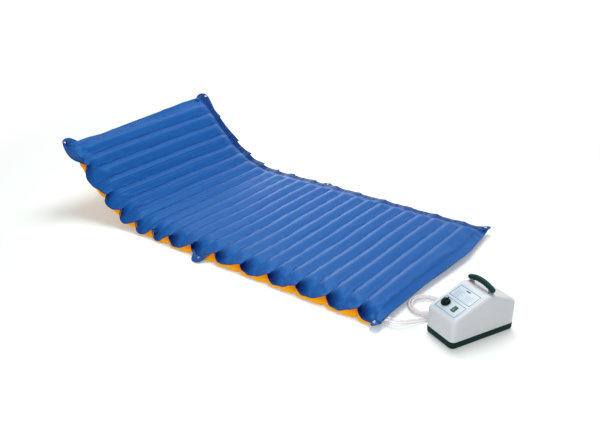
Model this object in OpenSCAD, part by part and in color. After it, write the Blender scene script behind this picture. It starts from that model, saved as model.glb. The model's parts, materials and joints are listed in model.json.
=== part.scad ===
// Alternating pressure air mattress with its pump and twin hoses.
// X runs from the head (-) to the foot (+), Y across the bed, Z up.
// The origin is on the bed under the middle of the flat length.

/* [Air cells] */
// Number of cells from head to foot
cell_count = 25; // [21:2:31]
// Distance from one cell to the next
cell_pitch = 68; // [60:1:76]
// Length of a cell across the bed
cell_length = 830; // [780:5:860]
// Height of a cell's ridge over the bed
ridge_z = 60; // [54:1:72]
// Height of the crease between two cells
crease_z = 47; // [44:1:50]
// Height of the groove between two cells underneath
under_z = 12; // [8:1:14]
// Gap between neighbouring cells
cell_gap = 0.6; // [0.4:0.1:1.2]

/* [Sheets] */
// Thickness of the base sheet
sheet_t = 1.2; // [0.8:0.1:2]
// Thickness of the welded hem
hem_t = 1.5; // [1:0.1:2.5]
// Width of the hem beyond the cells' ends
hem_w = 37; // [28:1:50]
// Height at which the hem leaves the cells
hem_z = 40; // [38:1:42]
// Height of the hem's cusps
cusp_z = 41; // [36:1:42]
// Height of the hem's lobes
lobe_z = 15; // [10:1:24]
// Width of the flange at the foot
foot_flange = 35; // [25:1:45]
// Height of the foot flange's edge
foot_edge_z = 30; // [29:1:36]
// Width of the flange at the head
head_flange = 45; // [30:1:60]

/* [Eyelets] */
// Radius of an eyelet's hole
eyelet_r = 4; // [3:0.5:6]
// Radius of the tab round an eyelet
tab_r = 18; // [12:1:24]
// How far an eyelet sits outside the side seam
eyelet_out = 8; // [6:1:12]

/* [Backrest] */
// Bend at each of the five fold lines, as shown
bend_step = 8.5; // [2:0.5:12]

/* [Hoses] */
// Outside diameter of a hose
hose_d = 9; // [7:0.5:9.2]
// Height of the hose inlets over the bed
inlet_z = 20; // [18:1:21]
// Radius of an inlet's barrel
inlet_r = 5.5; // [5:0.1:6]
// How far the inlets reach past the last cell
inlet_reach = 47; // [44:1:52]
// How far the first inlet sits in from the cells' ends
inlet_in = 20; // [16:1:30]
// Distance between the two inlets
inlet_spacing = 16; // [14:1:20]
// Radius of the first hose's outer loop
coil_r = 72; // [68:1:80]
// Distance between two neighbouring loops
loop_pitch = 10.6; // [10.6:0.1:12]

/* [Pump casing] */
// Length of the pump from front to back
pump_l = 275; // [265:1:300]
// Width of the pump
pump_w = 140; // [136:1:160]
// Radius of the casing's upright corners
corner_r = 18; // [10:1:24]
// Thickness of the casing's walls
wall = 2.5; // [2:0.1:3.5]
// Height of the rubber feet
foot_h = 3; // [2:0.5:6]
// Radius of a rubber foot
foot_r = 9; // [6:0.5:12]
// Height of the base tray over the feet
tray_h = 25; // [22:1:27]
// Height of the cover at the front
front_h = 105; // [98:1:115]
// Height of the cover at its ridge
ridge_h = 167; // [155:1:175]
// Height of the cover at the back
back_h = 116; // [105:1:125]
// Distance of the ridge from the front
ridge_from_front = 154; // [145:1:165]

/* [Pump controls] */
// Length of the control panel up the slope
panel_l = 134; // [130:1:140]
// Width of the control panel
panel_w = 108; // [100:1:116]
// Thickness of the control panel
panel_t = 1; // [0.5:0.1:2]
// Radius of the knob
knob_r = 17; // [12:0.5:18]
// Height of the knob
knob_h = 14; // [10:1:18]
// Radius of the knob's spindle
spindle_r = 3; // [2.5:0.1:4]
// Length of the switch's rocker
rocker_l = 16; // [14:0.5:18]
// Width of the switch's rocker
rocker_w = 10.4; // [8:0.2:12]
// Tilt of the rocker each way
rocker_tilt = 8; // [5:0.5:10]

/* [Pump handle] */
// Radius of the grip
grip_r = 9.5; // [8:0.5:11]
// Half of the grip's span
grip_half = 58; // [52:1:60]
// Rise of the grip's arch
grip_rise = 13; // [10:1:16]
// Height of the grip's middle over the ridge
grip_over_ridge = 20; // [18:1:26]
// Radius of a handle post
post_r = 7; // [5:0.5:8]

/* [Pump works] */
// Height of the outlets over the floor
outlet_z = 36; // [35:0.5:38]
// Distance between the two outlets
outlet_spacing = 18; // [16:1:20]
// Radius of an outlet's barrel
outlet_r = 5; // [4.5:0.1:5.5]
// Swing of the armature each way
armature_swing = 2; // [1:0.5:2.5]
// Radius of the armature's pivot pin
pivot_r = 2; // [1.5:0.1:2.5]
// Radius of the distributor's rotor
rotor_r = 20; // [16:1:21]

/* [Hidden] */
$fn = 48;

blue = "#2b5cb0";
orange = "#f5a21d";
clear_pvc = "#e4e2e6";
casing_grey = "#dcdde1";
dark_green = "#12403c";
steel = "#b9bcc0";
black = "#2a2c2e";

// Cells that stay straight at the head, and cells that bend
backrest_cells = 4;
bend_cells = 4;
flat_cells = cell_count - backrest_cells - bend_cells;
foot_x = cell_count * cell_pitch / 2;
half_cell = (cell_pitch - cell_gap) / 2;
half_length = cell_length / 2;
seam_y = half_length + hem_w;
seam_width = 2 * seam_y;
hem_clear = 0.2;

// Position of a weld line counted from the foot, in the flat mattress
function weld_x(k) = foot_x - k * cell_pitch;

// Turns what belongs past fold line n about that line, and about those before it
module folded(n) {
  if (n > 0)
    folded(n - 1)
      translate([weld_x(flat_cells + n - 1), 0, crease_z])
        rotate([0, bend_step, 0])
          translate([-weld_x(flat_cells + n - 1), 0, -crease_z])
            children();
  else
    children();
}

// Triangles of a loft whose rings hold n points, an upper row and a lower row read backwards
function loft_faces(rings, n) = concat(
  [for (i = [0:rings - 2], j = [0:n - 1])
    let (a = i * n + j, b = i * n + (j + 1) % n)
      each j < n / 2 ? [[a, b + n, b], [a, a + n, b + n]] : [[a, a + n, b], [b, a + n, b + n]]],
  [for (j = [0:n / 2 - 2])
    each [[j, j + 1, n - 1 - j], [j + 1, n - 2 - j, n - 1 - j]]],
  [for (j = [0:n / 2 - 2])
    let (q = (rings - 1) * n)
      each [[q + j, q + n - 1 - j, q + j + 1], [q + j + 1, q + n - 1 - j, q + n - 2 - j]]]
);

module loft(rings) {
  polyhedron([for (r = rings) each r], loft_faces(len(rings), len(rings[0])));
}

// Section of a cell: points across its width from -1 to 1, and the crown over them
cell_top = [-1, -0.72, -0.3, 0.3, 0.72, 1];
cell_under = [1, 0.76, 0.5, -0.5, -0.76, -1];
crown_power = 2.2;
function crown(t) = crease_z + (ridge_z - crease_z) * (1 - pow(abs(t), crown_power));
function belly(t) = sheet_t + (under_z - sheet_t) * pow(max(0, abs(t) - 0.5) / 0.5, 1.5);

// A cell's end: distance from the end, and how full the cell is there
cell_end = [[0, 0], [9, 0.5], [24, 0.84], [60, 1]];
cell_mid_z = 30;
end_height = 0.45;
end_draw = 0.06;
function cell_ring(x, y, full) = [
  for (p = concat([for (t = cell_top) [t, crown(t)]], [for (t = cell_under) [t, belly(t)]]))
    [x + p[0] * half_cell * (1 - end_draw * (1 - full)), y,
     cell_mid_z + (p[1] - cell_mid_z) * (end_height + (1 - end_height) * full)]
];

// One inflated cell, counted from the head
module air_cell(number) {
  x = weld_x(cell_count - number + 0.5);
  loft(concat(
    [for (e = cell_end) cell_ring(x, -half_length + e[0], e[1])],
    [for (i = [len(cell_end) - 1:-1:0])
      cell_ring(x, half_length - cell_end[i][0], cell_end[i][1])]
  ));
}

module backrest_cell(number) {
  color(blue) folded(bend_cells + 1) air_cell(number);
}

module bend_cell(number) {
  color(blue) folded(backrest_cells + bend_cells - number + 1) air_cell(number);
}

// Every other cell of the flat part belongs to one air circuit
module flat_circuit(first) {
  color(blue)
    for (number = [first:2:cell_count])
      air_cell(number);
}

// Cusps of the scalloped hem, in cells from the foot
cusps = [-1, 1, 3, 5, 7, 9, 11, 13, 15, 16.5, 18, 19.5, 21, 23, 25, 27, 29, 31, 33];
lobe_power = 0.6;
hem_steps = 4;
function seam_z(k) =
  let (i = max([for (n = [0:len(cusps) - 2]) if (cusps[n] <= k) n]),
       t = (k - cusps[i]) / (cusps[i + 1] - cusps[i]))
    cusp_z - (cusp_z - lobe_z) * pow(max(0, sin(180 * t)), lobe_power);

// Weld positions at which the hem is drawn, trimmed by half a gap at its two ends
function hem_stations(k0, k1) = [
  for (i = [0:(k1 - k0) * hem_steps])
    [k0 + i / hem_steps,
     min(weld_x(k0) - cell_gap / 2, max(weld_x(k1) + cell_gap / 2, weld_x(k0 + i / hem_steps)))]
];

function hem_ring(k, x) = [
  [x, half_length, hem_z],
  [x, seam_y, seam_z(k)],
  [x, seam_y, seam_z(k) - hem_t],
  [x, half_length, hem_z - hem_t]
];

// The scalloped hem along both sides from weld k0 to weld k1
module side_hems(k0, k1) {
  for (side = [0, 1])
    mirror([0, side, 0])
      loft([for (s = hem_stations(k0, k1)) hem_ring(s[0], s[1])]);
}

// The flange across an end, from x0 at the hem's height to x1 at height z1
module end_flange(x0, x1, z1) {
  rotate([90, 0, 0])
    linear_extrude(seam_width, center = true)
      polygon([[x0, hem_z], [x1, z1], [x1, z1 - hem_t], [x0, hem_z - hem_t]]);
}

module hem_flat() {
  color(blue) {
    side_hems(0, flat_cells);
    end_flange(foot_x - cell_gap / 2 + hem_clear, foot_x + foot_flange, foot_edge_z);
  }
}

module hem_bend(n) {
  color(blue) folded(n) side_hems(flat_cells + n - 1, flat_cells + n);
}

module hem_backrest() {
  color(blue)
    folded(bend_cells + 1) {
      side_hems(flat_cells + bend_cells, cell_count);
      end_flange(-foot_x + cell_gap / 2 - hem_clear, -foot_x - head_flange, hem_z);
    }
}

// The upturned side of the base sheet, scalloped to lie under the hem
module base_sides(k0, k1) {
  st = hem_stations(k0, k1);
  last = len(st) - 1;
  for (side = [0, 1])
    mirror([0, side, 0])
      translate([0, seam_y, 0])
        rotate([90, 0, 0])
          linear_extrude(sheet_t)
            polygon(concat(
              [[st[0][1], sheet_t], [st[last][1], sheet_t]],
              [for (i = [last:-1:0]) [st[i][1], seam_z(st[i][0]) - hem_t - hem_clear]]
            ));
}

module base_floor(x0, x1) {
  translate([x1, -seam_y, 0])
    cube([x0 - x1, seam_width, sheet_t]);
}

inlet_ys = [inlet_in - half_length, inlet_in - inlet_spacing - half_length];
inlet_clear = 0.15;

foot_tuck = 12;
module base_sheet_flat() {
  edge = foot_x + foot_flange;
  wall_top = foot_edge_z - hem_t - hem_clear;
  color(orange) {
    base_sides(0, flat_cells);
    difference() {
      union() {
        base_floor(foot_x + foot_tuck, weld_x(flat_cells) + cell_gap / 2);
        rotate([90, 0, 0])
          linear_extrude(seam_width, center = true)
            polygon([
              [foot_x + foot_tuck - 2 * sheet_t, sheet_t], [foot_x + foot_tuck, sheet_t],
              [edge, wall_top], [edge - 2 * sheet_t, wall_top]
            ]);
      }
      for (y = inlet_ys)
        translate([foot_x, y, inlet_z])
          rotate([0, 90, 0])
            cylinder(h = 2 * foot_flange, r = inlet_r + inlet_clear);
    }
  }
}

module base_sheet_bend(n) {
  k = flat_cells + n;
  color(orange)
    folded(n) {
      base_sides(k - 1, k);
      base_floor(weld_x(k - 1) - cell_gap / 2, weld_x(k) + cell_gap / 2);
    }
}

module base_sheet_backrest() {
  k = flat_cells + bend_cells;
  color(orange)
    folded(bend_cells + 1) {
      base_sides(k, cell_count);
      base_floor(weld_x(k) - cell_gap / 2, -foot_x);
    }
}

// A tab with an eyelet's hole, outside the seam on both sides of the mattress
module eyelet_pair(x, z) {
  for (side = [0, 1])
    mirror([0, side, 0])
      translate([x, seam_y, z - hem_t])
        linear_extrude(hem_t)
          difference() {
            translate([0, eyelet_out]) circle(tab_r);
            translate([-2 * tab_r, -2 * tab_r]) square([4 * tab_r, 2 * tab_r]);
            translate([0, eyelet_out]) circle(eyelet_r);
          }
}

mid_lobe = 12;
module eyelet_tabs_flat() {
  color(blue) {
    eyelet_pair(weld_x(mid_lobe), lobe_z);
    eyelet_pair(foot_x + foot_flange - tab_r, foot_edge_z);
  }
}

module eyelet_tabs_head() {
  color(blue)
    folded(bend_cells + 1)
      eyelet_pair(-foot_x - head_flange + tab_r / 2, hem_z);
}

// Hoses: each leaves an inlet, lies in a two-layer coil and ends on an outlet of the pump
hose_r = hose_d / 2;
corner = [foot_x, -half_length, 0];
coil_centre = corner + [100, 191, 0];
coil_from = -40;
coil_turn_in = 360;
coil_climb = 180;
coil_turn_out = 120;
coil_total = coil_turn_in + coil_climb + coil_turn_out;
coil_step = 15;
coil_floor = 0.1;
layer_z = [hose_r + coil_floor, hose_r + coil_floor + loop_pitch];
spiral = 2 * loop_pitch / 360;

function smooth(t) = t * t * (3 - 2 * t);

// Radius and height of a hose's centre line after it has turned by a
function loop_r(r, a) =
  a < coil_turn_in ? r - spiral * a
  : a < coil_turn_in + coil_climb
    ? let (b = a - coil_turn_in) r - spiral * coil_turn_in - spiral * (b - b * b / coil_climb)
  : r - spiral * coil_turn_in + spiral * (a - coil_turn_in - coil_climb);
function loop_z(a) =
  layer_z[0] + loop_pitch * smooth(min(1, max(0, (a - coil_turn_in) / coil_climb)));
function loop_point(r, a) = [
  coil_centre[0] + loop_r(r, a) * cos(coil_from + a),
  coil_centre[1] + loop_r(r, a) * sin(coil_from + a),
  loop_z(a)
];
function loop_heading(a) = [-sin(coil_from + a), cos(coil_from + a), 0];

// The coil's centre line, with one hose diameter straight at each end
function coil_path(r) = concat(
  [loop_point(r, 0) - hose_d * loop_heading(0)],
  [for (a = [0:coil_step:coil_total]) loop_point(r, a)],
  [loop_point(r, coil_total) + hose_d * loop_heading(coil_total)]
);

hose_sides = 8;
loop_sides = 6;

// A tube of radius r along a line of points, none of whose stretches is upright
function unit(v) = v / norm(v);
function line_heading(p, i) = unit(p[min(i + 1, len(p) - 1)] - p[max(i - 1, 0)]);
function tube_ring(p, h, r, n) =
  let (s = unit(cross(h, [0, 0, 1])), u = cross(s, h))
    [for (j = [0:n - 1]) p + r * (cos(360 * (j + 0.5) / n) * s - sin(360 * (j + 0.5) / n) * u)];
module tube(p, r, n) {
  loft([for (i = [0:len(p) - 1]) tube_ring(p[i], line_heading(p, i), r, n)]);
}

// Where the pump stands
pump_at = corner + [283, 151, 0];
pump_yaw = 66;
outlet_from_front = 77.5;
outlet_u = [outlet_from_front - pump_l / 2, outlet_from_front - pump_l / 2 - outlet_spacing];
outlet_reach = 14;
function to_row(p) = [
  pump_at[0] + p[0] * cos(pump_yaw) - p[1] * sin(pump_yaw),
  pump_at[1] + p[0] * sin(pump_yaw) + p[1] * cos(pump_yaw),
  p[2]
];
function outlet_end(i, back) = to_row([outlet_u[i], pump_w / 2 + outlet_reach + back, outlet_z]);

// Route points of the free stretches, in order from the mattress, measured from its corner
run_a_route = [
  [69, 25, 19], [82, 37, 17], [96, 55, 14], [109, 76, 11], [123, 99, 8], [136, 120, 5]
];
run_b_route = [
  [75, 9, 19], [91, 22, 17], [105, 42, 14], [119, 65, 11], [131, 89, 8], [144, 112, 5]
];
tail_a_route = [[112, 133, 17], [127, 134, 23], [143, 136, 29], [158, 136.5, 34]];
tail_b_route = [[110, 122, 17], [124, 122, 23], [138, 121.5, 29], [152, 120.5, 34]];
function from_corner(route) = [for (p = route) corner + p];

hose_loop_r = [coil_r, coil_r + loop_pitch];
run_routes = [from_corner(run_a_route), from_corner(run_b_route)];
tail_routes = [from_corner(tail_a_route), from_corner(tail_b_route)];

function inlet_end(i) = [foot_x + inlet_reach, inlet_ys[i], inlet_z];
function coil_in(i) = loop_point(hose_loop_r[i], 0) - hose_d * loop_heading(0);
function coil_out(i) = loop_point(hose_loop_r[i], coil_total) + hose_d * loop_heading(coil_total);

module hose_run(i) {
  color(clear_pvc)
    tube(concat([inlet_end(i), inlet_end(i) + [hose_d, 0, 0]], run_routes[i], [coil_in(i)]),
         hose_r, hose_sides);
}

module hose_coil(i) {
  color(clear_pvc) tube(coil_path(hose_loop_r[i]), hose_r, loop_sides);
}

module hose_tail(i) {
  color(clear_pvc)
    tube(concat([coil_out(i)], tail_routes[i], [outlet_end(i, hose_d), outlet_end(i, 0)]),
         hose_r, hose_sides);
}

// Least gap of a coil to itself, between points over half a turn apart, and of one coil to the other
half_turn = 180 / coil_step;
function least_gap(p, q, apart) = min([
  for (i = [0:len(p) - 1], j = [0:len(q) - 1])
    if (abs(i - j) >= apart) norm(p[i] - q[j])
]) - hose_d;
echo(coil_self_gap = [for (r = hose_loop_r) least_gap(coil_path(r), coil_path(r), half_turn)]);
echo(coil_to_coil_gap = least_gap(coil_path(hose_loop_r[0]), coil_path(hose_loop_r[1]), 0));

// Spigots that lead the two hoses into the last cell
inlet_bore = 3;
module hose_inlets() {
  color(casing_grey)
    for (y = inlet_ys)
      translate([foot_x - cell_gap / 2, y, inlet_z])
        rotate([0, 90, 0])
          difference() {
            cylinder(h = inlet_reach + cell_gap / 2, r = inlet_r);
            translate([0, 0, -1]) cylinder(h = inlet_reach + 3, r = inlet_bore);
          }
}

// Pump, in its own frame: X from front to back, Y towards the mattress
module on_pump() {
  translate(pump_at)
    rotate([0, 0, pump_yaw])
      children();
}

half_l = pump_l / 2;
half_w = pump_w / 2;
tray_top = foot_h + tray_h;
tray_floor_t = 3;
tray_floor = foot_h + tray_floor_t;
ridge_u = ridge_from_front - half_l;
slope = atan((ridge_h - front_h) / ridge_from_front);
back_slope = atan((ridge_h - back_h) / (pump_l - ridge_from_front));

// The frame of the control panel: X up the slope from the cover's front edge, Z out of it
module on_slope() {
  translate([-half_l, 0, front_h])
    rotate([0, -slope, 0])
      children();
}

// Plan of the casing, drawn in by inset
module casing_plan(inset) {
  r = corner_r - min(inset, corner_r - 1);
  square([pump_l - 2 * inset, pump_w - 2 * inset - 2 * r], center = true);
  square([pump_l - 2 * inset - 2 * r, pump_w - 2 * inset], center = true);
  for (x = [-1, 1], y = [-1, 1])
    translate([x * (half_l - inset - r), y * (half_w - inset - r)])
      circle(r);
}

// Wedge-shaped body of the cover, drawn in by inset, from height z0 up
module cover_body(inset, z0) {
  drop = inset / cos(slope);
  back_drop = inset / cos(back_slope);
  lowered_front = front_h + inset * tan(slope) - drop;
  lowered_back = back_h + inset * tan(back_slope) - back_drop;
  intersection() {
    translate([0, 0, z0])
      linear_extrude(ridge_h)
        casing_plan(inset);
    rotate([90, 0, 0])
      linear_extrude(pump_w + 2, center = true)
        polygon([
          [-half_l + inset, z0], [half_l - inset, z0],
          [half_l - inset, lowered_back],
          [ridge_u, ridge_h - max(drop, back_drop)],
          [-half_l + inset, lowered_front]
        ]);
  }
}

screw_in = [47.5, 9.5];
screw_at = [for (x = [-1, 1], y = [-1, 1]) [x * (half_l - screw_in[0]), y * (half_w - screw_in[1])]];
screw_r = 1.5;
screw_head_r = 3.2;
screw_head_h = 2.4;
screw_reach = 16;
screw_end = 3;
screw_sunk = 1.6;
boss_r = 5.5;
run_clear = 0.05;
fit_clear = 0.2;

knob_at = [49, 28];
switch_at = [46, -19];
bezel_rim = 1.3;
rocker_clear = 1.2;
bezel_l = rocker_l + 2 * rocker_clear + 2 * bezel_rim;
bezel_w = rocker_w + 2 * fit_clear + 2 * bezel_rim;
bezel_lip = 2.2;
bezel_lip_t = 1.2;
bezel_depth = 14;

mains_at = [-25, 62];
mains_size = [27, 20];
mains_flange = 2;
fuse_at = [15, 62];
fuse_r = 6;

module at_outlets() {
  for (u = outlet_u)
    translate([u, 0, outlet_z])
      rotate([-90, 0, 0])
        children();
}

module pump_cover() {
  color(casing_grey)
    on_pump()
      difference() {
        union() {
          difference() {
            cover_body(0, tray_top);
            cover_body(wall, tray_top - 1);
          }
          intersection() {
            cover_body(0, tray_top);
            for (p = screw_at)
              translate([p[0], p[1], tray_top])
                cylinder(h = ridge_h, r = boss_r);
          }
        }
        for (p = screw_at)
          translate([p[0], p[1], tray_top - 1])
            cylinder(h = screw_reach + 2, r = screw_r);
        on_slope() {
          translate([knob_at[0], knob_at[1], -2 * wall])
            cylinder(h = 4 * wall, r = spindle_r + fit_clear);
          translate([switch_at[0], switch_at[1], 0])
            cube([bezel_l + 2 * fit_clear, bezel_w + 2 * fit_clear, 8 * wall], center = true);
        }
        at_outlets()
          cylinder(h = pump_w, r = outlet_r + fit_clear);
        translate([half_l, mains_at[0], mains_at[1]])
          cube([6 * wall, mains_size[0] + 2 * fit_clear, mains_size[1] + 2 * fit_clear],
               center = true);
        translate([half_l - 3 * wall, fuse_at[0], fuse_at[1]])
          rotate([0, 90, 0])
            cylinder(h = 6 * wall, r = fuse_r + fit_clear);
      }
}

board_from_front = 25.5;
board_u = board_from_front - half_l;
board_t = 1.6;
board_w = pump_w - 40;
board_h = 70;

module pump_tray() {
  rib = 3;
  rib_h = 8;
  color(dark_green)
    on_pump()
      difference() {
        union() {
          difference() {
            translate([0, 0, foot_h])
              linear_extrude(tray_h)
                casing_plan(0);
            translate([0, 0, tray_floor])
              linear_extrude(tray_h)
                casing_plan(wall);
          }
          for (p = screw_at)
            translate([p[0], p[1], foot_h])
              cylinder(h = tray_h, r = boss_r);
          for (side = [-1, 1], x = [-1, 1])
            translate([board_u + x * (board_t / 2 + fit_clear + rib / 2), side * 0.4 * board_w,
                       tray_floor + rib_h / 2])
              cube([rib, 2 * rib, rib_h], center = true);
        }
        for (p = screw_at)
          translate([p[0], p[1], foot_h - 1]) {
            cylinder(h = tray_h + 2, r = screw_r + fit_clear);
            cylinder(h = 1 + screw_head_h + screw_sunk, r = screw_head_r + fit_clear);
          }
      }
}

module rubber_feet() {
  inset = corner_r + 2;
  color(black)
    on_pump()
      for (x = [-1, 1], y = [-1, 1])
        translate([x * (half_l - inset), y * (half_w - inset), 0])
          cylinder(h = foot_h, r = foot_r);
}

// Screws from under the tray into the cover's bosses
module cover_screws() {
  seat = foot_h + screw_head_h;
  color(steel)
    on_pump()
      for (p = screw_at)
        translate([p[0], p[1], seat]) {
          translate([0, 0, -screw_head_h + screw_sunk]) cylinder(h = screw_head_h, r = screw_head_r);
          translate([0, 0, screw_sunk])
            cylinder(h = tray_top + screw_reach - seat - screw_end, r = screw_r - run_clear);
        }
}

panel_from = 12;
module control_panel() {
  color("#c9dcec")
    on_pump()
      on_slope()
        difference() {
          translate([panel_from, -panel_w / 2, 0])
            cube([panel_l, panel_w, panel_t]);
          translate([knob_at[0], knob_at[1], -1])
            cylinder(h = panel_t + 2, r = spindle_r + fit_clear);
          translate([switch_at[0], switch_at[1], 0])
            cube([bezel_l + 2 * fit_clear, bezel_w + 2 * fit_clear, 4 * panel_t], center = true);
        }
}

// Knob with its pointer and spindle
knob_gap = 0.5;
control_h = 10;
module pressure_knob() {
  pointer_w = 5;
  pointer_rise = 4;
  color(dark_green)
    on_pump()
      on_slope()
        translate([knob_at[0], knob_at[1], 0]) {
          translate([0, 0, panel_t + knob_gap])
            cylinder(h = knob_h - pointer_rise, r = knob_r);
          translate([-knob_r + 1, -pointer_w / 2, panel_t + knob_gap + knob_h - pointer_rise])
            cube([2 * knob_r - 2, pointer_w, pointer_rise]);
          translate([0, 0, -wall - control_h + 2])
            cylinder(h = wall + control_h - 2 + panel_t + knob_gap, r = spindle_r);
        }
}

// The pressure control behind the panel, which the knob's spindle turns
module pressure_control() {
  side = 20;
  color(steel)
    on_pump()
      on_slope()
        translate([knob_at[0], knob_at[1], -wall - control_h])
          difference() {
            translate([-side / 2, -side / 2, 0])
              cube([side, side, control_h]);
            translate([0, 0, 1.5])
              cylinder(h = control_h, r = spindle_r + run_clear);
          }
}

rocker_pivot_r = 1.5;
rocker_z = 0.5;
module switch_bezel() {
  color(black)
    on_pump()
      on_slope()
        translate([switch_at[0], switch_at[1], 0])
          difference() {
            union() {
              translate([-bezel_l / 2, -bezel_w / 2, -bezel_depth])
                cube([bezel_l, bezel_w, bezel_depth + panel_t]);
              translate([-bezel_l / 2 - bezel_lip, -bezel_w / 2 - bezel_lip, panel_t])
                cube([bezel_l + 2 * bezel_lip, bezel_w + 2 * bezel_lip, bezel_lip_t]);
            }
            translate([-bezel_l / 2 + bezel_rim, -bezel_w / 2 + bezel_rim, -bezel_depth + 3])
              cube([bezel_l - 2 * bezel_rim, bezel_w - 2 * bezel_rim, 2 * bezel_depth]);
            translate([0, 0, rocker_z])
              rotate([90, 0, 0])
                cylinder(h = 2 * bezel_w, r = rocker_pivot_r + run_clear, center = true);
          }
}

// Rocker on its two pivot stubs, shown pressed at its lower end
module switch_rocker() {
  dip = 1;
  top = 4;
  depth = 4;
  color("#1f8a5a")
    on_pump()
      on_slope()
        translate([switch_at[0], switch_at[1], rocker_z])
          rotate([0, -rocker_tilt, 0])
            rotate([90, 0, 0]) {
              linear_extrude(rocker_w, center = true)
                polygon([
                  [-rocker_l / 2, top], [0, top - dip], [rocker_l / 2, top],
                  [rocker_l / 2, 0], [rocker_l / 4, -depth], [-rocker_l / 4, -depth], [-rocker_l / 2, 0]
                ]);
              cylinder(h = rocker_w + 2 * fit_clear + bezel_rim, r = rocker_pivot_r, center = true);
            }
}

// Arched grip across the ridge
grip_arc_r = (grip_half * grip_half + grip_rise * grip_rise) / (2 * grip_rise);
grip_turn = asin(grip_half / grip_arc_r);
grip_back = 16;
grip_u = ridge_u + grip_back;
grip_centre_z = ridge_h + grip_over_ridge - grip_arc_r;

module grip_form() {
  translate([grip_u, 0, grip_centre_z])
    rotate([90, 0, 90])
      rotate([0, 0, 90 - grip_turn])
        rotate_extrude(angle = 2 * grip_turn)
          translate([grip_arc_r, 0])
            circle(grip_r);
}

module handle_grip() {
  color(dark_green) on_pump() grip_form();
}

post_v = 46;
post_top = grip_centre_z + sqrt(grip_arc_r * grip_arc_r - post_v * post_v);
module handle_posts() {
  color(steel)
    on_pump()
      difference() {
        for (side = [-1, 1])
          translate([grip_u, side * post_v, back_h])
            cylinder(h = post_top - back_h, r = post_r);
        cover_body(0, tray_top);
        grip_form();
      }
}

// Outlets that the hoses end on, with stubs inside for the short tubes
outlet_flange = 7;
outlet_flange_t = 2.5;
stub_r = 2.5;
stub_in = 8;
module outlet_nozzles() {
  color(casing_grey)
    on_pump()
      at_outlets()
        difference() {
          union() {
            translate([0, 0, half_w - wall]) cylinder(h = wall + outlet_reach, r = outlet_r);
            translate([0, 0, half_w]) cylinder(h = outlet_flange_t, r = outlet_flange);
            translate([0, 0, half_w - wall - stub_in]) cylinder(h = stub_in, r = stub_r);
          }
          translate([0, 0, half_w - wall - stub_in - 1])
            cylinder(h = wall + outlet_reach + stub_in + 2, r = stub_r - 1);
        }
}

// Appliance inlet with its three blades in a socket
module mains_inlet() {
  depth = 24;
  socket = 16;
  lip = 3;
  blade = [2, 4, 8];
  blade_at = [[-7, -1.5], [0, 2.5], [7, -1.5]];
  socket_rim = 2;
  root = 0.5;
  color(black)
    on_pump()
      translate([half_l, mains_at[0], mains_at[1]]) {
        difference() {
          union() {
            translate([-depth, -mains_size[0] / 2, -mains_size[1] / 2])
              cube([depth, mains_size[0], mains_size[1]]);
            translate([0, -mains_size[0] / 2 - lip, -mains_size[1] / 2 - lip])
              cube([mains_flange, mains_size[0] + 2 * lip, mains_size[1] + 2 * lip]);
          }
          translate([mains_flange - socket, -mains_size[0] / 2 + socket_rim,
                     -mains_size[1] / 2 + socket_rim])
            cube([socket + 1, mains_size[0] - 2 * socket_rim, mains_size[1] - 2 * socket_rim]);
        }
        for (p = blade_at)
          translate([mains_flange - socket - root, p[0] - blade[0] / 2, p[1] - blade[1] / 2])
            cube([blade[2], blade[0], blade[1]]);
      }
}

module fuse_holder() {
  body_l = 30;
  cap_r = 8;
  cap_t = 4;
  color(black)
    on_pump()
      translate([half_l, fuse_at[0], fuse_at[1]])
        rotate([0, 90, 0]) {
          translate([0, 0, -body_l]) cylinder(h = body_l, r = fuse_r);
          cylinder(h = cap_t, r = cap_r);
        }
}

// Board on edge between the tray's ribs, with its transformer and capacitors to the front
module circuit_board() {
  transformer = [18, 34, 30];
  transformer_at = [-30, 22];
  capacitor_v = [18, 32];
  capacitor_z = 40;
  capacitor_h = 16;
  capacitor_r = 5;
  color("#2f7d4a")
    on_pump()
      translate([board_u, 0, tray_floor]) {
        translate([-board_t / 2, -board_w / 2, 0]) cube([board_t, board_w, board_h]);
        translate([-board_t / 2 - transformer[0], transformer_at[0], transformer_at[1]])
          cube(transformer);
        for (y = capacitor_v)
          translate([-board_t / 2, y, capacitor_z])
            rotate([0, -90, 0])
              cylinder(h = capacitor_h, r = capacitor_r);
      }
}

// Compressor: a magnet on a lever swings before an electromagnet and works a diaphragm
frame_t = 2;
frame_top = tray_floor + frame_t;
pivot_at = [-8, -28];
works_z = 30;
lever_t = 4;
magnet_u = [46, 55];
core_u = [58, 92];
core_w = 48;
core_h = 20;
leg_w = 12;
slot_w = 10;
slot_l = 24;
module compressor_frame() {
  plate_from = -20;
  plate_l = 115;
  plate_w = 52;
  color(steel)
    on_pump() {
      translate([plate_from, pivot_at[1] - plate_w / 2, tray_floor]) cube([plate_l, plate_w, frame_t]);
      translate([core_u[0] + slot_l, pivot_at[1] - core_w / 2, frame_top])
        cube([core_u[1] - core_u[0] - slot_l, core_w, works_z - core_h / 2 - frame_top]);
    }
}

module magnet_core() {
  color("#6d7076")
    on_pump()
      translate([core_u[0], pivot_at[1], works_z])
        difference() {
          translate([0, -core_w / 2, -core_h / 2])
            cube([core_u[1] - core_u[0], core_w, core_h]);
          for (side = [-1, 1])
            translate([-1, side * (leg_w + slot_w) / 2 - slot_w / 2, -core_h])
              cube([slot_l + 1, slot_w, 2 * core_h]);
        }
}

module magnet_winding() {
  build = slot_w - 1;
  color("#b5632e")
    on_pump()
      translate([core_u[0] + 2, pivot_at[1], works_z])
        rotate([0, 90, 0])
          linear_extrude(slot_l - 4)
            difference() {
              square([core_h + 2 * build, leg_w + 2 * build], center = true);
              square([core_h + 2 * fit_clear, leg_w + 2 * fit_clear], center = true);
            }
}

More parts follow.
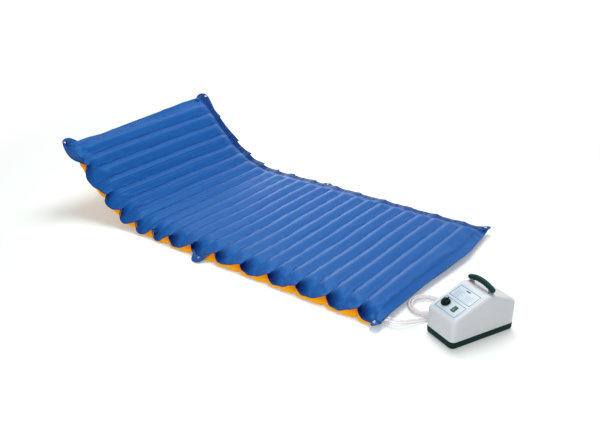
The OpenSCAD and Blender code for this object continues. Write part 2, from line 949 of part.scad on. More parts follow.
chamber_u = [2, 38];
chamber_v = [-19, 8];
chamber_h = 40;
diaphragm_r = 16;
diaphragm_t = 2;
diaphragm_u = 20;
stroke_gap = 0.3;
pin_over = 12;
module armature_lever() {
  eye_r = 5;
  eye_h = 16;
  lever_h = 12;
  stud_r = 3;
  swing = (diaphragm_u - pivot_at[0]) * sin(armature_swing) + stroke_gap;
  color(steel)
    on_pump() {
      difference() {
        union() {
          translate([pivot_at[0], pivot_at[1], works_z - eye_h / 2]) cylinder(h = eye_h, r = eye_r);
          translate([pivot_at[0], pivot_at[1] - lever_t / 2, works_z - lever_h / 2])
            cube([magnet_u[0] - pivot_at[0], lever_t, lever_h]);
        }
        translate([pivot_at[0], pivot_at[1], 0]) cylinder(h = 2 * works_z, r = pivot_r + run_clear);
      }
      translate([diaphragm_u, pivot_at[1], works_z])
        rotate([-90, 0, 0])
          translate([0, 0, lever_t / 2])
            cylinder(h = chamber_v[0] - diaphragm_t - swing - pivot_at[1] - lever_t / 2, r = stud_r);
    }
}

module armature_magnet() {
  side = 16;
  color(black)
    on_pump()
      translate([magnet_u[0], pivot_at[1] - side / 2, works_z - side / 2])
        cube([magnet_u[1] - magnet_u[0], side, side]);
}

module armature_pin() {
  color(steel)
    on_pump()
      translate([pivot_at[0], pivot_at[1], frame_top])
        cylinder(h = works_z + pin_over - frame_top, r = pivot_r);
}

module diaphragm() {
  color(black)
    on_pump()
      translate([diaphragm_u, chamber_v[0], works_z])
        rotate([90, 0, 0])
          cylinder(h = diaphragm_t, r = diaphragm_r);
}

nipple_l = 10;
supply_at = [30, 38];
module valve_chamber() {
  color(casing_grey)
    on_pump() {
      translate([chamber_u[0], chamber_v[0], frame_top])
        cube([chamber_u[1] - chamber_u[0], chamber_v[1] - chamber_v[0], chamber_h]);
      translate([supply_at[0], chamber_v[1], supply_at[1]])
        rotate([-90, 0, 0])
          cylinder(h = nipple_l, r = stub_r);
    }
}

module intake_filter() {
  filter_at = [14, 22];
  filter_h = 6;
  filter_r = 10;
  color("#e8e4d8")
    on_pump()
      translate([filter_at[0], chamber_v[1], filter_at[1]])
        rotate([-90, 0, 0])
          cylinder(h = filter_h, r = filter_r);
}

// Distributor: a slow motor turns a rotor that feeds one hose and vents the other
distributor_in = 40;
distributor_at = [outlet_u[0] - outlet_spacing / 2, half_w - distributor_in];
body_r = rotor_r + 4;
body_z = [outlet_z - 8, outlet_z + 8];
ear_v = body_r + 4;
ear_post_r = 3;
motor_z = body_z[1] + 10;
motor_h = 18;
rotor_gap = 0.3;
rotor_t = 4;
shaft_r = 2;
shaft_in = 8;
stub_out = 5;
module distributor_body() {
  color(casing_grey)
    on_pump()
      translate([distributor_at[0], distributor_at[1], 0]) {
        translate([0, 0, tray_floor]) cylinder(h = body_z[0] - tray_floor, r = body_r / 2);
        translate([0, 0, body_z[0]]) cylinder(h = body_z[1] - body_z[0], r = body_r);
        for (side = [-1, 1]) {
          translate([-ear_post_r, side * (ear_v - ear_post_r) - ear_post_r, body_z[0]])
            cube([2 * ear_post_r, 2 * ear_post_r, body_z[1] - body_z[0]]);
          translate([0, side * ear_v, body_z[0]])
            cylinder(h = motor_z - body_z[0], r = ear_post_r);
        }
        for (u = outlet_u)
          translate([u - distributor_at[0], 0, outlet_z])
            rotate([-90, 0, 0])
              cylinder(h = body_r + stub_out, r = stub_r);
        translate([0, 0, outlet_z])
          rotate([0, 90, 0])
            cylinder(h = body_r + nipple_l, r = stub_r);
      }
}

module distributor_rotor() {
  port_r = 3;
  color("#d8c9a0")
    on_pump()
      translate([distributor_at[0], distributor_at[1], body_z[1] + rotor_gap])
        difference() {
          union() {
            cylinder(h = rotor_t, r = rotor_r);
            cylinder(h = motor_z - body_z[1] + shaft_in - 1, r = shaft_r);
          }
          translate([rotor_r - 2 * port_r, 0, -1]) cylinder(h = rotor_t + 2, r = port_r);
        }
}

module distributor_motor() {
  ear_t = 2;
  color(steel)
    on_pump()
      translate([distributor_at[0], distributor_at[1], motor_z])
        difference() {
          union() {
            cylinder(h = motor_h, r = body_r - 2);
            translate([-2 * ear_post_r, -ear_v - ear_post_r, 0])
              cube([4 * ear_post_r, 2 * (ear_v + ear_post_r), ear_t]);
          }
          translate([0, 0, -1]) cylinder(h = shaft_in + 1, r = shaft_r + run_clear);
        }
}

// Tube from the valve chamber to the distributor, in the pump's frame
supply_r = 3.5;
supply_route = [[29, 24, 38], [24, 29, 38], [16, 31, 37], [6, 31, 37], [-6, 30, 36]];
module supply_tube() {
  color(clear_pvc)
    on_pump()
      tube(concat(
        [[supply_at[0], chamber_v[1] + nipple_l, supply_at[1]]],
        supply_route,
        [[distributor_at[0] + body_r + nipple_l + 2 * supply_r, distributor_at[1], outlet_z],
         [distributor_at[0] + body_r + nipple_l, distributor_at[1], outlet_z]]
      ), supply_r, hose_sides);
}

// Short sleeves that join the distributor to the outlets
sleeve_wall = 1.4;
module outlet_tubes() {
  from = distributor_at[1] + body_r + 1;
  color(clear_pvc)
    on_pump()
      at_outlets()
        translate([0, 0, from])
          difference() {
            cylinder(h = half_w - wall - 1 - from, r = stub_r + run_clear + sleeve_wall);
            translate([0, 0, -1]) cylinder(h = half_w, r = stub_r + run_clear);
          }
}

backrest_cell(1);  // air_cell_01
backrest_cell(2);  // air_cell_02
backrest_cell(3);  // air_cell_03
backrest_cell(4);  // air_cell_04
bend_cell(5);  // air_cell_05
bend_cell(6);  // air_cell_06
bend_cell(7);  // air_cell_07
bend_cell(8);  // air_cell_08
flat_circuit(9);  // air_cells_a
flat_circuit(10);  // air_cells_b
base_sheet_flat();
base_sheet_bend(1);  // base_sheet_bend_1
base_sheet_bend(2);  // base_sheet_bend_2
base_sheet_bend(3);  // base_sheet_bend_3
base_sheet_bend(4);  // base_sheet_bend_4
base_sheet_backrest();
hem_flat();
hem_bend(1);  // hem_bend_1
hem_bend(2);  // hem_bend_2
hem_bend(3);  // hem_bend_3
hem_bend(4);  // hem_bend_4
hem_backrest();
eyelet_tabs_flat();
eyelet_tabs_head();
hose_inlets();
hose_run(0);  // hose_a_run
hose_coil(0);  // hose_a_coil
hose_tail(0);  // hose_a_tail
hose_run(1);  // hose_b_run
hose_coil(1);  // hose_b_coil
hose_tail(1);  // hose_b_tail
pump_cover();
pump_tray();
rubber_feet();
cover_screws();
control_panel();
pressure_knob();
pressure_control();
switch_bezel();
switch_rocker();
handle_grip();
handle_posts();
outlet_nozzles();
mains_inlet();
fuse_holder();
circuit_board();
compressor_frame();
magnet_core();
magnet_winding();
armature_lever();
armature_magnet();
armature_pin();
diaphragm();
valve_chamber();
intake_filter();
distributor_body();
distributor_rotor();
distributor_motor();
supply_tube();
outlet_tubes();
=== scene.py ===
import bpy, bmesh, json, math
import numpy as np
from mathutils import Matrix, Vector


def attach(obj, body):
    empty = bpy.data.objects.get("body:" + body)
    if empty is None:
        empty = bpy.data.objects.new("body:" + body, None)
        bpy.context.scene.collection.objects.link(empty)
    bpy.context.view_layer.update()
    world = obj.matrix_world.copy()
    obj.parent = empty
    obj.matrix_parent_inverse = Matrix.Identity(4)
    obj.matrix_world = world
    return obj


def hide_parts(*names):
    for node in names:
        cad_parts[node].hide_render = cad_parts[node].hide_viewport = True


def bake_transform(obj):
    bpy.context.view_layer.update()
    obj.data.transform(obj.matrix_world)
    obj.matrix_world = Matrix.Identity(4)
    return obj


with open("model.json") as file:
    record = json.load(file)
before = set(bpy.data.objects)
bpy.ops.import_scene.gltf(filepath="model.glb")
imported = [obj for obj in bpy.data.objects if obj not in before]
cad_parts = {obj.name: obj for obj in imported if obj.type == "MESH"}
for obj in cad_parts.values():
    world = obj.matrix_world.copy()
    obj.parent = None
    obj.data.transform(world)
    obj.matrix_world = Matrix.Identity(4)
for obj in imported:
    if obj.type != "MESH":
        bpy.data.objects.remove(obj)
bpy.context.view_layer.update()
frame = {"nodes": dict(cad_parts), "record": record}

MM = 0.001
WHITE = (1.0, 1.0, 1.0, 1.0)


# ---- small helpers

def lin(code):
    """sRGB hex to a linear colour with alpha."""
    c = [int(code[i:i + 2], 16) / 255 for i in (1, 3, 5)]
    return tuple(v / 12.92 if v <= 0.04045 else ((v + 0.055) / 1.055) ** 2.4 for v in c) + (1.0,)


def add(tree, kind, settings=None, values=None, links=None):
    """One node, with its properties, its socket values and the sockets that feed it."""
    n = tree.nodes.new(kind)
    for k, v in (settings or {}).items():
        setattr(n, k, v)
    for k, v in (values or {}).items():
        n.inputs[k].default_value = v
    for k, v in (links or {}).items():
        tree.links.new(v, n.inputs[k])
    return n


def new_material(name):
    """An empty material, its node tree and the socket of its object's own coordinates."""
    m = bpy.data.materials.new(name)
    m.use_nodes = True
    m.node_tree.nodes.clear()
    return m, m.node_tree, add(m.node_tree, "ShaderNodeTexCoord").outputs["Object"]


def in_scene(name, data):
    o = bpy.data.objects.new(name, data)
    bpy.context.collection.objects.link(o)
    return o


def mesh_piece(name, verts, faces, materials, face_slots=None, smooth=True):
    """A mesh object at the origin, from points in millimetres in the row frame."""
    me = bpy.data.meshes.new(name)
    me.from_pydata([tuple(c * MM for c in v) for v in verts], [], [tuple(f) for f in faces])
    for m in materials:
        me.materials.append(m)
    if face_slots is not None:
        me.polygons.foreach_set("material_index", np.asarray(face_slots, np.int32))
    me.polygons.foreach_set("use_smooth", [smooth] * len(me.polygons))
    me.validate()
    me.update()
    return in_scene(name, me)


def outward(o, merge=1e-6):
    """Points the faces of a closed mesh outwards, after merging doubles closer than merge, if it isn't 0."""
    b = bmesh.new()
    b.from_mesh(o.data)
    if merge:
        bmesh.ops.remove_doubles(b, verts=b.verts, dist=merge)
        bmesh.ops.dissolve_degenerate(b, edges=b.edges, dist=merge)
    bmesh.ops.recalc_face_normals(b, faces=b.faces)
    b.to_mesh(o.data)
    b.free()
    o.data.update()
    return o


def place(o, body, slot, *nodes):
    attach(o, body)
    if nodes:
        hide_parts(*nodes)
    return o


def smoothstep(t):
    t = np.clip(t, 0.0, 1.0)
    return t * t * (3 - 2 * t)


def ramp(v, start, length):
    """Rises smoothly from 0 at start to 1 a length further on."""
    return smoothstep((v - start) / length)


def turn(count):
    """Angles of evenly spaced points round a circle."""
    return np.linspace(0, 2 * math.pi, count, endpoint=False)


def along(line):
    """Distance along a line at each of its points."""
    return np.r_[0, np.cumsum(np.linalg.norm(np.diff(line, axis=0), axis=1))]


def points_at(line, at):
    """Points of a line at given distances along it."""
    s = along(line)
    return np.stack([np.interp(at, s, c) for c in line.T], axis=1)


def strip_faces(rows, cols, first=0, closed=True):
    """Quads between rows of points, each row closed on itself or open."""
    last = cols if closed else cols - 1
    return [(first + i * cols + j, first + i * cols + (j + 1) % cols,
             first + (i + 1) * cols + (j + 1) % cols, first + (i + 1) * cols + j)
            for i in range(rows - 1) for j in range(last)]


def ring_faces(rows, cols, first=0):
    """Quads between closed rows of points, the last row joined to the first."""
    return [tuple(first + v % (rows * cols) for v in f) for f in strip_faces(rows + 1, cols)]


# ---- camera, light and floor

CAMERA_AT, CAMERA_TO = (1.9140, -2.2765, 1.3940), (0.08841, 0.15248, 0.0)


def facing(at, to):
    return (Vector(to) - Vector(at)).to_track_quat("-Z", "Y")


camera = in_scene("camera", bpy.data.cameras.new("camera"))
camera.data.lens, camera.data.sensor_width = 42.83, 36.0
camera.location = CAMERA_AT
camera.rotation_mode = "QUATERNION"
camera.rotation_quaternion = facing(CAMERA_AT, CAMERA_TO)
bpy.context.scene.camera = camera
bpy.context.scene.view_settings.view_transform = "Standard"


def seen_directly(tree):
    """1 on rays that come from the camera, straight, by a mirror or through glass."""
    path = add(tree, "ShaderNodeLightPath")
    bright = add(tree, "ShaderNodeMath", {"operation": "MAXIMUM"},
                 links={0: path.outputs["Is Camera Ray"], 1: path.outputs["Is Transmission Ray"]})
    return add(tree, "ShaderNodeMath", {"operation": "MAXIMUM"},
               links={0: bright.outputs[0], 1: path.outputs["Is Glossy Ray"]}).outputs[0]


def studio_world():
    """A dim warm sky for the light, plain white where it is seen."""
    world = bpy.data.worlds.new("studio")
    bpy.context.scene.world = world
    world.use_nodes = True
    t = world.node_tree
    t.nodes.clear()
    ambient = add(t, "ShaderNodeBackground", values={"Color": (1.0, 0.98, 0.95, 1.0), "Strength": 0.36})
    white = add(t, "ShaderNodeBackground", values={"Color": WHITE, "Strength": 1.0})
    sky = add(t, "ShaderNodeMixShader", links={0: seen_directly(t), 1: ambient.outputs[0], 2: white.outputs[0]})
    add(t, "ShaderNodeOutputWorld", links={"Surface": sky.outputs[0]})


def soft_light(name, at, to, size, power, colour):
    d = bpy.data.lights.new(name, "AREA")
    d.shape, d.size, d.energy, d.color = "DISK", size, power, colour
    o = in_scene(name, d)
    o.location = at
    o.rotation_euler = facing(at, to).to_euler()


def studio_floor(half=9000):
    """Matt white paint: flat and pale, and plain white far from the object."""
    m, t, at = new_material("matt_white_paint")
    reach = add(t, "ShaderNodeVectorMath", {"operation": "LENGTH"}, links={0: at})
    far = add(t, "ShaderNodeMapRange", {"interpolation_type": "SMOOTHSTEP"}, {"From Min": 1.1, "From Max": 2.3},
              {"Value": reach.outputs["Value"]})
    look = seen_directly(t)
    away = add(t, "ShaderNodeMath", {"operation": "MULTIPLY"}, links={0: far.outputs[0], 1: look})
    glow = add(t, "ShaderNodeMath", {"operation": "MULTIPLY"}, {1: 0.2}, {0: look})
    paint = add(t, "ShaderNodeBsdfPrincipled",
                values={"Base Color": lin("#e8efee"), "Roughness": 0.9, "Specular IOR Level": 0.1,
                        "Emission Color": WHITE},
                links={"Emission Strength": glow.outputs[0]})
    plain = add(t, "ShaderNodeEmission", values={"Color": WHITE, "Strength": 1.0})
    both = add(t, "ShaderNodeMixShader", links={0: away.outputs[0], 1: paint.outputs[0], 2: plain.outputs[0]})
    add(t, "ShaderNodeOutputMaterial", links={"Surface": both.outputs[0]})
    corners = [(-half, -half, 0), (half, -half, 0), (half, half, 0), (-half, half, 0)]
    mesh_piece("floor", corners, [(0, 1, 2, 3)], [m], smooth=False)


studio_world()
# the key hangs overhead and the back lamp is low, so that each cell has a bright line on its head side
soft_light("key", (0.2, 0.9, 3.4), (0.4, 0.0, 0.0), 2.4, 96, (1.0, 0.995, 0.98))
soft_light("fill", (2.0, -3.0, 1.5), (0.3, -0.1, 0.1), 2.2, 42, (0.98, 0.99, 1.0))
soft_light("back", (-2.4, 2.9, 1.2), (0.2, 0.0, 0.1), 2.4, 30, (0.74, 0.88, 1.0))
studio_floor()


# ---- materials: patterns on the object's own coordinates, in metres

def woven_coat(name, cloth, shadow, hem, gloss, rough, thread):
    """Coated nylon taffeta: a fine even weave under a thin satin coat, so it has soft broad
    highlights, slightly uneven colour and no visible yarn ends. thread is the pitch drawn, in mm. hem is
    the dark that a point attribute mixes in: painted shade in the creases, the folds and under the hem,
    and on the welded lip partly its own darker tone and partly painted shade."""
    m, t, at = new_material(name)
    # threads are 0.3 mm apart on the real cloth, and drawn coarser so that they show
    weft, warp = [add(t, "ShaderNodeTexWave", {"wave_type": "BANDS", "bands_direction": axis, "wave_profile": "SIN"},
                      {"Scale": 100 * math.pi / thread, "Distortion": 0.4, "Detail": 1.0}, {"Vector": at})
                  for axis in "XY"]
    weave = add(t, "ShaderNodeMath", {"operation": "MULTIPLY"},
                links={0: weft.outputs["Fac"], 1: warp.outputs["Fac"]})
    # uneven tension of the coat, in patches of about 40 mm
    patch = add(t, "ShaderNodeTexNoise", values={"Scale": 25.0, "Detail": 4.0, "Roughness": 0.55},
                links={"Vector": at})
    # slack ripples about 9 mm wide
    ripple = add(t, "ShaderNodeTexNoise", values={"Scale": 110.0, "Detail": 2.0, "Roughness": 0.5},
                 links={"Vector": at})
    tone = add(t, "ShaderNodeMix", {"data_type": "RGBA"}, {6: lin(shadow), 7: lin(cloth)}, {0: patch.outputs["Fac"]})
    # painted shade: a point attribute darkens the cloth towards hem in the creases, the folds and under the hem, and
    # on the welded lip partly as its own darker tone
    weld = add(t, "ShaderNodeAttribute", {"attribute_name": "weld"})
    colour_with_painted_shade = add(t, "ShaderNodeMix", {"data_type": "RGBA"}, {7: lin(hem)}, {0: weld.outputs["Fac"], 6: tone.outputs[2]})
    satin = add(t, "ShaderNodeMapRange", values={"To Min": rough - 0.06, "To Max": rough + 0.08},
                links={"Value": patch.outputs["Fac"]})
    # the coat reflects less where shade is painted, and on the welded lip, so that the painted shade stays dark
    gleam = add(t, "ShaderNodeMapRange", values={"To Min": 0.3, "To Max": 0.05}, links={"Value": weld.outputs["Fac"]})
    slack = add(t, "ShaderNodeBump", values={"Strength": 0.10, "Distance": 0.0012},
                links={"Height": ripple.outputs["Fac"]})
    bump = add(t, "ShaderNodeBump", values={"Strength": 0.22, "Distance": 0.0003},
               links={"Height": weave.outputs[0], "Normal": slack.outputs[0]})
    shade = add(t, "ShaderNodeBsdfPrincipled",
                values={"IOR": 1.5, "Specular Tint": lin(gloss), "Sheen Weight": 0.06, "Sheen Roughness": 0.4,
                        "Sheen Tint": lin(cloth)},
                links={"Base Color": colour_with_painted_shade.outputs[2], "Roughness": satin.outputs[0], "Normal": bump.outputs[0],
                       "Specular IOR Level": gleam.outputs[0]})
    add(t, "ShaderNodeOutputMaterial", links={"Surface": shade.outputs[0]})
    return m


def clear_hose_material():
    """Plasticised PVC tube: clear and a little milky, with a smooth extruded skin and sharp highlights."""
    m, t, at = new_material("clear_soft_pvc")
    # faint draw lines of the extrusion, about 4 mm apart
    streak = add(t, "ShaderNodeTexNoise", values={"Scale": 240.0, "Detail": 2.0}, links={"Vector": at})
    rough = add(t, "ShaderNodeMapRange", values={"To Min": 0.08, "To Max": 0.2},
                links={"Value": streak.outputs["Fac"]})
    shade = add(t, "ShaderNodeBsdfPrincipled",
                values={"Base Color": lin("#fcf7fa"), "IOR": 1.53, "Alpha": 0.42, "Coat Weight": 0.3,
                        "Coat Roughness": 0.1},
                links={"Roughness": rough.outputs[0]})
    add(t, "ShaderNodeOutputMaterial", links={"Surface": shade.outputs[0]})
    return m


def moulded(name, colour, cloud, rough, grit, depth, coat=0.0, gloss=0.5):
    """Moulded plastic or rubber: the tool's spark-eroded grain all over and a faint cloudiness from the
    flow of the melt. grit is the grain's width in mm, drawn a little coarser than it is so that it shows."""
    m, t, at = new_material(name)
    grain = add(t, "ShaderNodeTexNoise", values={"Scale": 1000 / grit, "Detail": 2.0, "Roughness": 0.6},
                links={"Vector": at})
    # flow marks about 50 mm across
    flow = add(t, "ShaderNodeTexNoise", values={"Scale": 20.0, "Detail": 3.0, "Roughness": 0.5}, links={"Vector": at})
    tone = add(t, "ShaderNodeMix", {"data_type": "RGBA"}, {6: lin(colour), 7: lin(cloud)}, {0: flow.outputs["Fac"]})
    dull = add(t, "ShaderNodeMapRange", values={"To Min": rough - 0.07, "To Max": rough + 0.07},
               links={"Value": grain.outputs["Fac"]})
    bump = add(t, "ShaderNodeBump", values={"Strength": depth, "Distance": 0.0003},
               links={"Height": grain.outputs["Fac"]})
    shade = add(t, "ShaderNodeBsdfPrincipled",
                values={"IOR": 1.53, "Specular IOR Level": gloss, "Coat Weight": coat, "Coat Roughness": 0.15},
                links={"Base Color": tone.outputs[2], "Roughness": dull.outputs[0], "Normal": bump.outputs[0]})
    add(t, "ShaderNodeOutputMaterial", links={"Surface": shade.outputs[0]})
    return m


def lined_metal(name, colour, groove, pitch, axis, rough, depth):
    """Metal with fine parallel lines: the brushing under a plated coat, stacked laminations or the turns of a
    winding. pitch is the distance between two lines in mm."""
    m, t, at = new_material(name)
    lines = add(t, "ShaderNodeTexWave", {"wave_type": "BANDS", "bands_direction": axis, "wave_profile": "SIN"},
                {"Scale": 100 * math.pi / pitch, "Distortion": 0.5, "Detail": 1.0}, {"Vector": at})
    # handling marks about 8 mm across
    smear = add(t, "ShaderNodeTexNoise", values={"Scale": 120.0, "Detail": 3.0}, links={"Vector": at})
    tone = add(t, "ShaderNodeMix", {"data_type": "RGBA"}, {6: lin(groove), 7: lin(colour)}, {0: lines.outputs["Fac"]})
    dull = add(t, "ShaderNodeMapRange", values={"To Min": rough - 0.08, "To Max": rough + 0.12},
               links={"Value": smear.outputs["Fac"]})
    bump = add(t, "ShaderNodeBump", values={"Strength": depth, "Distance": 0.0002},
               links={"Height": lines.outputs["Fac"]})
    shade = add(t, "ShaderNodeBsdfPrincipled", values={"Metallic": 1.0},
                links={"Base Color": tone.outputs[2], "Roughness": dull.outputs[0], "Normal": bump.outputs[0]})
    add(t, "ShaderNodeOutputMaterial", links={"Surface": shade.outputs[0]})
    return m


def board_laminate():
    """Glass epoxy circuit board: a green solder mask over copper tracks, glossy and slightly see-through."""
    m, t, at = new_material("epoxy_board_green")
    # tracks about 3 mm apart
    tracks = add(t, "ShaderNodeTexBrick", links={"Vector": at},
                 values={"Scale": 90.0, "Mortar Size": 0.03, "Color1": lin("#1c6a3f"), "Color2": lin("#1f7546"),
                         "Mortar": lin("#3f9a5e")})
    glass = add(t, "ShaderNodeTexNoise", values={"Scale": 900.0, "Detail": 1.0}, links={"Vector": at})
    bump = add(t, "ShaderNodeBump", values={"Strength": 0.2, "Distance": 0.0002},
               links={"Height": glass.outputs["Fac"]})
    shade = add(t, "ShaderNodeBsdfPrincipled", values={"Roughness": 0.32, "IOR": 1.55, "Coat Weight": 0.4},
                links={"Base Color": tracks.outputs["Color"], "Normal": bump.outputs[0]})
    add(t, "ShaderNodeOutputMaterial", links={"Surface": shade.outputs[0]})
    return m


def pressed_felt():
    """Pressed wool felt: matt, with a nap of short tangled fibres."""
    m, t, at = new_material("pressed_felt")
    # fibres about 0.5 mm across
    nap = add(t, "ShaderNodeTexNoise", values={"Scale": 2000.0, "Detail": 5.0, "Distortion": 1.2},
              links={"Vector": at})
    tone = add(t, "ShaderNodeMix", {"data_type": "RGBA"}, {6: lin("#d9d3c4"), 7: lin("#f3efe6")},
               {0: nap.outputs["Fac"]})
    bump = add(t, "ShaderNodeBump", values={"Strength": 0.6, "Distance": 0.0006},
               links={"Height": nap.outputs["Fac"]})
    shade = add(t, "ShaderNodeBsdfPrincipled", values={"Roughness": 0.95, "Sheen Weight": 0.4},
                links={"Base Color": tone.outputs[2], "Normal": bump.outputs[0]})
    add(t, "ShaderNodeOutputMaterial", links={"Surface": shade.outputs[0]})
    return m


# the third colour of each cloth is the dark of its painted shade and of the welded lip
blue_nylon = woven_coat("coated_nylon_blue", "#1c5ca7", "#184f99", "#061350", "#6cc4ff", 0.42, 1.6)
orange_nylon = woven_coat("coated_nylon_orange", "#ffb608", "#ffa804", "#d06000", "#ffe0a0", 0.55, 1.6)
clear_pvc = clear_hose_material()
abs_pale = moulded("moulded_abs_pale", "#d2d4d8", "#cccfd4", 0.42, 0.9, 0.12)
abs_green = moulded("moulded_abs_dark_green", "#07302b", "#062824", 0.48, 0.9, 0.15, gloss=0.08)
abs_knob = moulded("moulded_abs_black_green", "#06191b", "#051416", 0.5, 0.8, 0.12, gloss=0.08)
grip_pvc = moulded("soft_pvc_dark_green", "#0a3633", "#082c2a", 0.5, 1.1, 0.25, gloss=0.15)
bezel_nylon = moulded("moulded_nylon_black", "#12181a", "#0e1315", 0.45, 0.8, 0.12, gloss=0.3)
rocker_pc = moulded("moulded_polycarbonate_green", "#25704c", "#1f6042", 0.25, 1.2, 0.04, 0.4)
film = moulded("printed_polyester_film", "#bccedb", "#b6c9d7", 0.32, 0.7, 0.05)
ink_slate = moulded("screen_ink_slate", "#3d5a6f", "#365164", 0.5, 0.7, 0.04)
ink_grey = moulded("screen_ink_grey", "#7f92a2", "#768998", 0.5, 0.7, 0.04)
ink_white = moulded("screen_ink_white", "#eef2f3", "#e6ebec", 0.5, 0.7, 0.04)
nylon_white = moulded("moulded_nylon_white", "#e6e7e6", "#dcdedd", 0.45, 0.8, 0.1)
rubber = moulded("moulded_rubber_black", "#1d1d1d", "#262626", 0.8, 1.0, 0.3)
acetal = moulded("moulded_acetal_cream", "#e2d9c0", "#d9cfb4", 0.35, 0.8, 0.08)
ferrite = moulded("sintered_ferrite", "#33343a", "#27282c", 0.6, 0.6, 0.3)
plated_steel = lined_metal("nickel_plated_steel", "#d3d4d4", "#b7b9ba", 0.5, "Z", 0.24, 0.05)
cast_zinc = lined_metal("tumbled_cast_zinc", "#8d9092", "#76797c", 1.2, "Z", 0.4, 0.1)
lamination = lined_metal("stacked_steel_laminations", "#8f9296", "#5d6064", 1.0, "X", 0.45, 0.5)
copper_wire = lined_metal("enamelled_copper_wire", "#c9763c", "#8a4820", 1.1, "Z", 0.3, 0.8)
epoxy_board = board_laminate()
felt = pressed_felt()

SLOT_FINISH = {
    "blue_nylon": blue_nylon, "orange_backing": orange_nylon, "clear_pvc": clear_pvc, "white_nylon": nylon_white,
    "casing": abs_pale, "dark_green": abs_green, "rubber": rubber, "steel": plated_steel, "panel": film,
    "black_plastic": bezel_nylon, "rocker": rocker_pc, "board": epoxy_board, "core": lamination,
    "winding": copper_wire, "magnet": ferrite, "filter": felt, "acetal": acetal,
}
for piece in frame["record"]["subparts"]:
    solid = frame["nodes"][piece["node"]]
    solid.data.materials.clear()
    solid.data.materials.append(SLOT_FINISH[piece["material_slot"]])


# ---- hoses: spigot, floor, coil, pump; mm from the corner of the mattress where they start

CORNER = np.array([850.0, -415.0, 0.0])
HOSE_D, BORE, HOSE_STEP, HOSE_SIDES = 9.0, 6.0, 3.0, 16
INLET, INLET_SPACING = np.array([897.0, -395.0, 20.0]), 16.0
OUTLET_U, OUTLET_V, OUTLET_Z, OUTLET_SPACING = -60.0, 84.0, 36.0, 18.0
LOOP_PITCH, COIL_R, COIL_FROM, COIL_STEP = 10.6, 72.0, -40.0, 15
# degrees that the coil winds inwards, then climbs over itself, then winds outwards
TURN_IN, CLIMB, TURN_OUT = 360, 180, 120
COIL_TOTAL = TURN_IN + CLIMB + TURN_OUT
COIL_C = CORNER + np.array([100.0, 191.0, 0.0])
PUMP_AT, PUMP_YAW = CORNER + np.array([283.0, 151.0, 0.0]), math.radians(66.0)


def pump_point(u, v, z):
    """A point of the pump's own frame (front to back, towards the mattress, up) in the row frame, mm."""
    c, s = math.cos(PUMP_YAW), math.sin(PUMP_YAW)
    return (PUMP_AT[0] + u * c - v * s, PUMP_AT[1] + u * s + v * c, z)


def loop_point(r, a):
    """A point of the coil, a degrees along it from its start at radius r."""
    spiral = 2 * LOOP_PITCH / 360
    b = a - TURN_IN
    if a < TURN_IN:
        q = r - spiral * a
    elif b < CLIMB:
        q = r - spiral * TURN_IN - spiral * (b - b * b / CLIMB)
    else:
        q = r - spiral * TURN_IN + spiral * (b - CLIMB)
    w = math.radians(COIL_FROM + a)
    z = HOSE_D / 2 + 0.1 + LOOP_PITCH * float(smoothstep(b / CLIMB))
    return np.array([COIL_C[0] + q * math.cos(w), COIL_C[1] + q * math.sin(w), z])


def loop_heading(a):
    w = math.radians(COIL_FROM + a)
    return np.array([-math.sin(w), math.cos(w), 0.0])


RUNS = ([(69, 25, 19), (82, 37, 17), (96, 55, 14), (109, 76, 11), (123, 99, 8), (136, 120, 5)],
        [(75, 9, 19), (91, 22, 17), (105, 42, 14), (119, 65, 11), (131, 89, 8), (144, 112, 5)])
TAILS = ([(112, 133, 17), (127, 134, 23), (143, 136, 29), (158, 136.5, 34)],
         [(110, 122, 17), (124, 122, 23), (138, 121.5, 29), (152, 120.5, 34)])


def hose_route(i):
    r = COIL_R + i * LOOP_PITCH
    start = INLET - [0, INLET_SPACING * i, 0]
    u = OUTLET_U - OUTLET_SPACING * i
    return np.array(
        [start, start + [HOSE_D, 0, 0]] + [CORNER + p for p in RUNS[i]]
        + [loop_point(r, 0) - HOSE_D * loop_heading(0)]
        + [loop_point(r, a) for a in range(0, COIL_TOTAL + 1, COIL_STEP)]
        + [loop_point(r, COIL_TOTAL) + HOSE_D * loop_heading(COIL_TOTAL)]
        + [CORNER + p for p in TAILS[i]]
        + [pump_point(u, OUTLET_V + HOSE_D, OUTLET_Z), pump_point(u, OUTLET_V, OUTLET_Z)])


def smooth_line(p, step):
    """Centripetal spline through the points, resampled at even steps of about step mm."""
    q = np.vstack([2 * p[0] - p[1], p, 2 * p[-1] - p[-2]])
    out = []
    for i in range(1, len(q) - 2):
        a, b, c, d = q[i - 1:i + 3]
        t0, t1, t2, t3 = np.r_[0, np.cumsum(np.linalg.norm(np.diff(q[i - 1:i + 3], axis=0), axis=1) ** 0.5)]
        for t in np.linspace(t1, t2, 12, endpoint=False):
            ab = (t1 - t) / (t1 - t0) * a + (t - t0) / (t1 - t0) * b
            bc = (t2 - t) / (t2 - t1) * b + (t - t1) / (t2 - t1) * c
            cd = (t3 - t) / (t3 - t2) * c + (t - t2) / (t3 - t2) * d
            abc = (t2 - t) / (t2 - t0) * ab + (t - t0) / (t2 - t0) * bc
            bcd = (t3 - t) / (t3 - t1) * bc + (t - t1) / (t3 - t1) * cd
            out.append((t2 - t) / (t2 - t1) * abc + (t - t1) / (t2 - t1) * bcd)
    line = np.array(out + [p[-1]])
    length = along(line)[-1]
    return points_at(line, np.linspace(0, length, int(length / step) + 1))


def tube_rings(line, radius, sides):
    """Rings of points round a line that is never upright."""
    head = np.gradient(line, axis=0)
    head /= np.linalg.norm(head, axis=1)[:, None]
    side = np.cross(head, [0, 0, 1.0])
    side /= np.linalg.norm(side, axis=1)[:, None]
    up = np.cross(side, head)
    w = turn(sides)[None, :, None]
    return line[:, None, :] + radius * (np.cos(w) * side[:, None, :] + np.sin(w) * up[:, None, :])


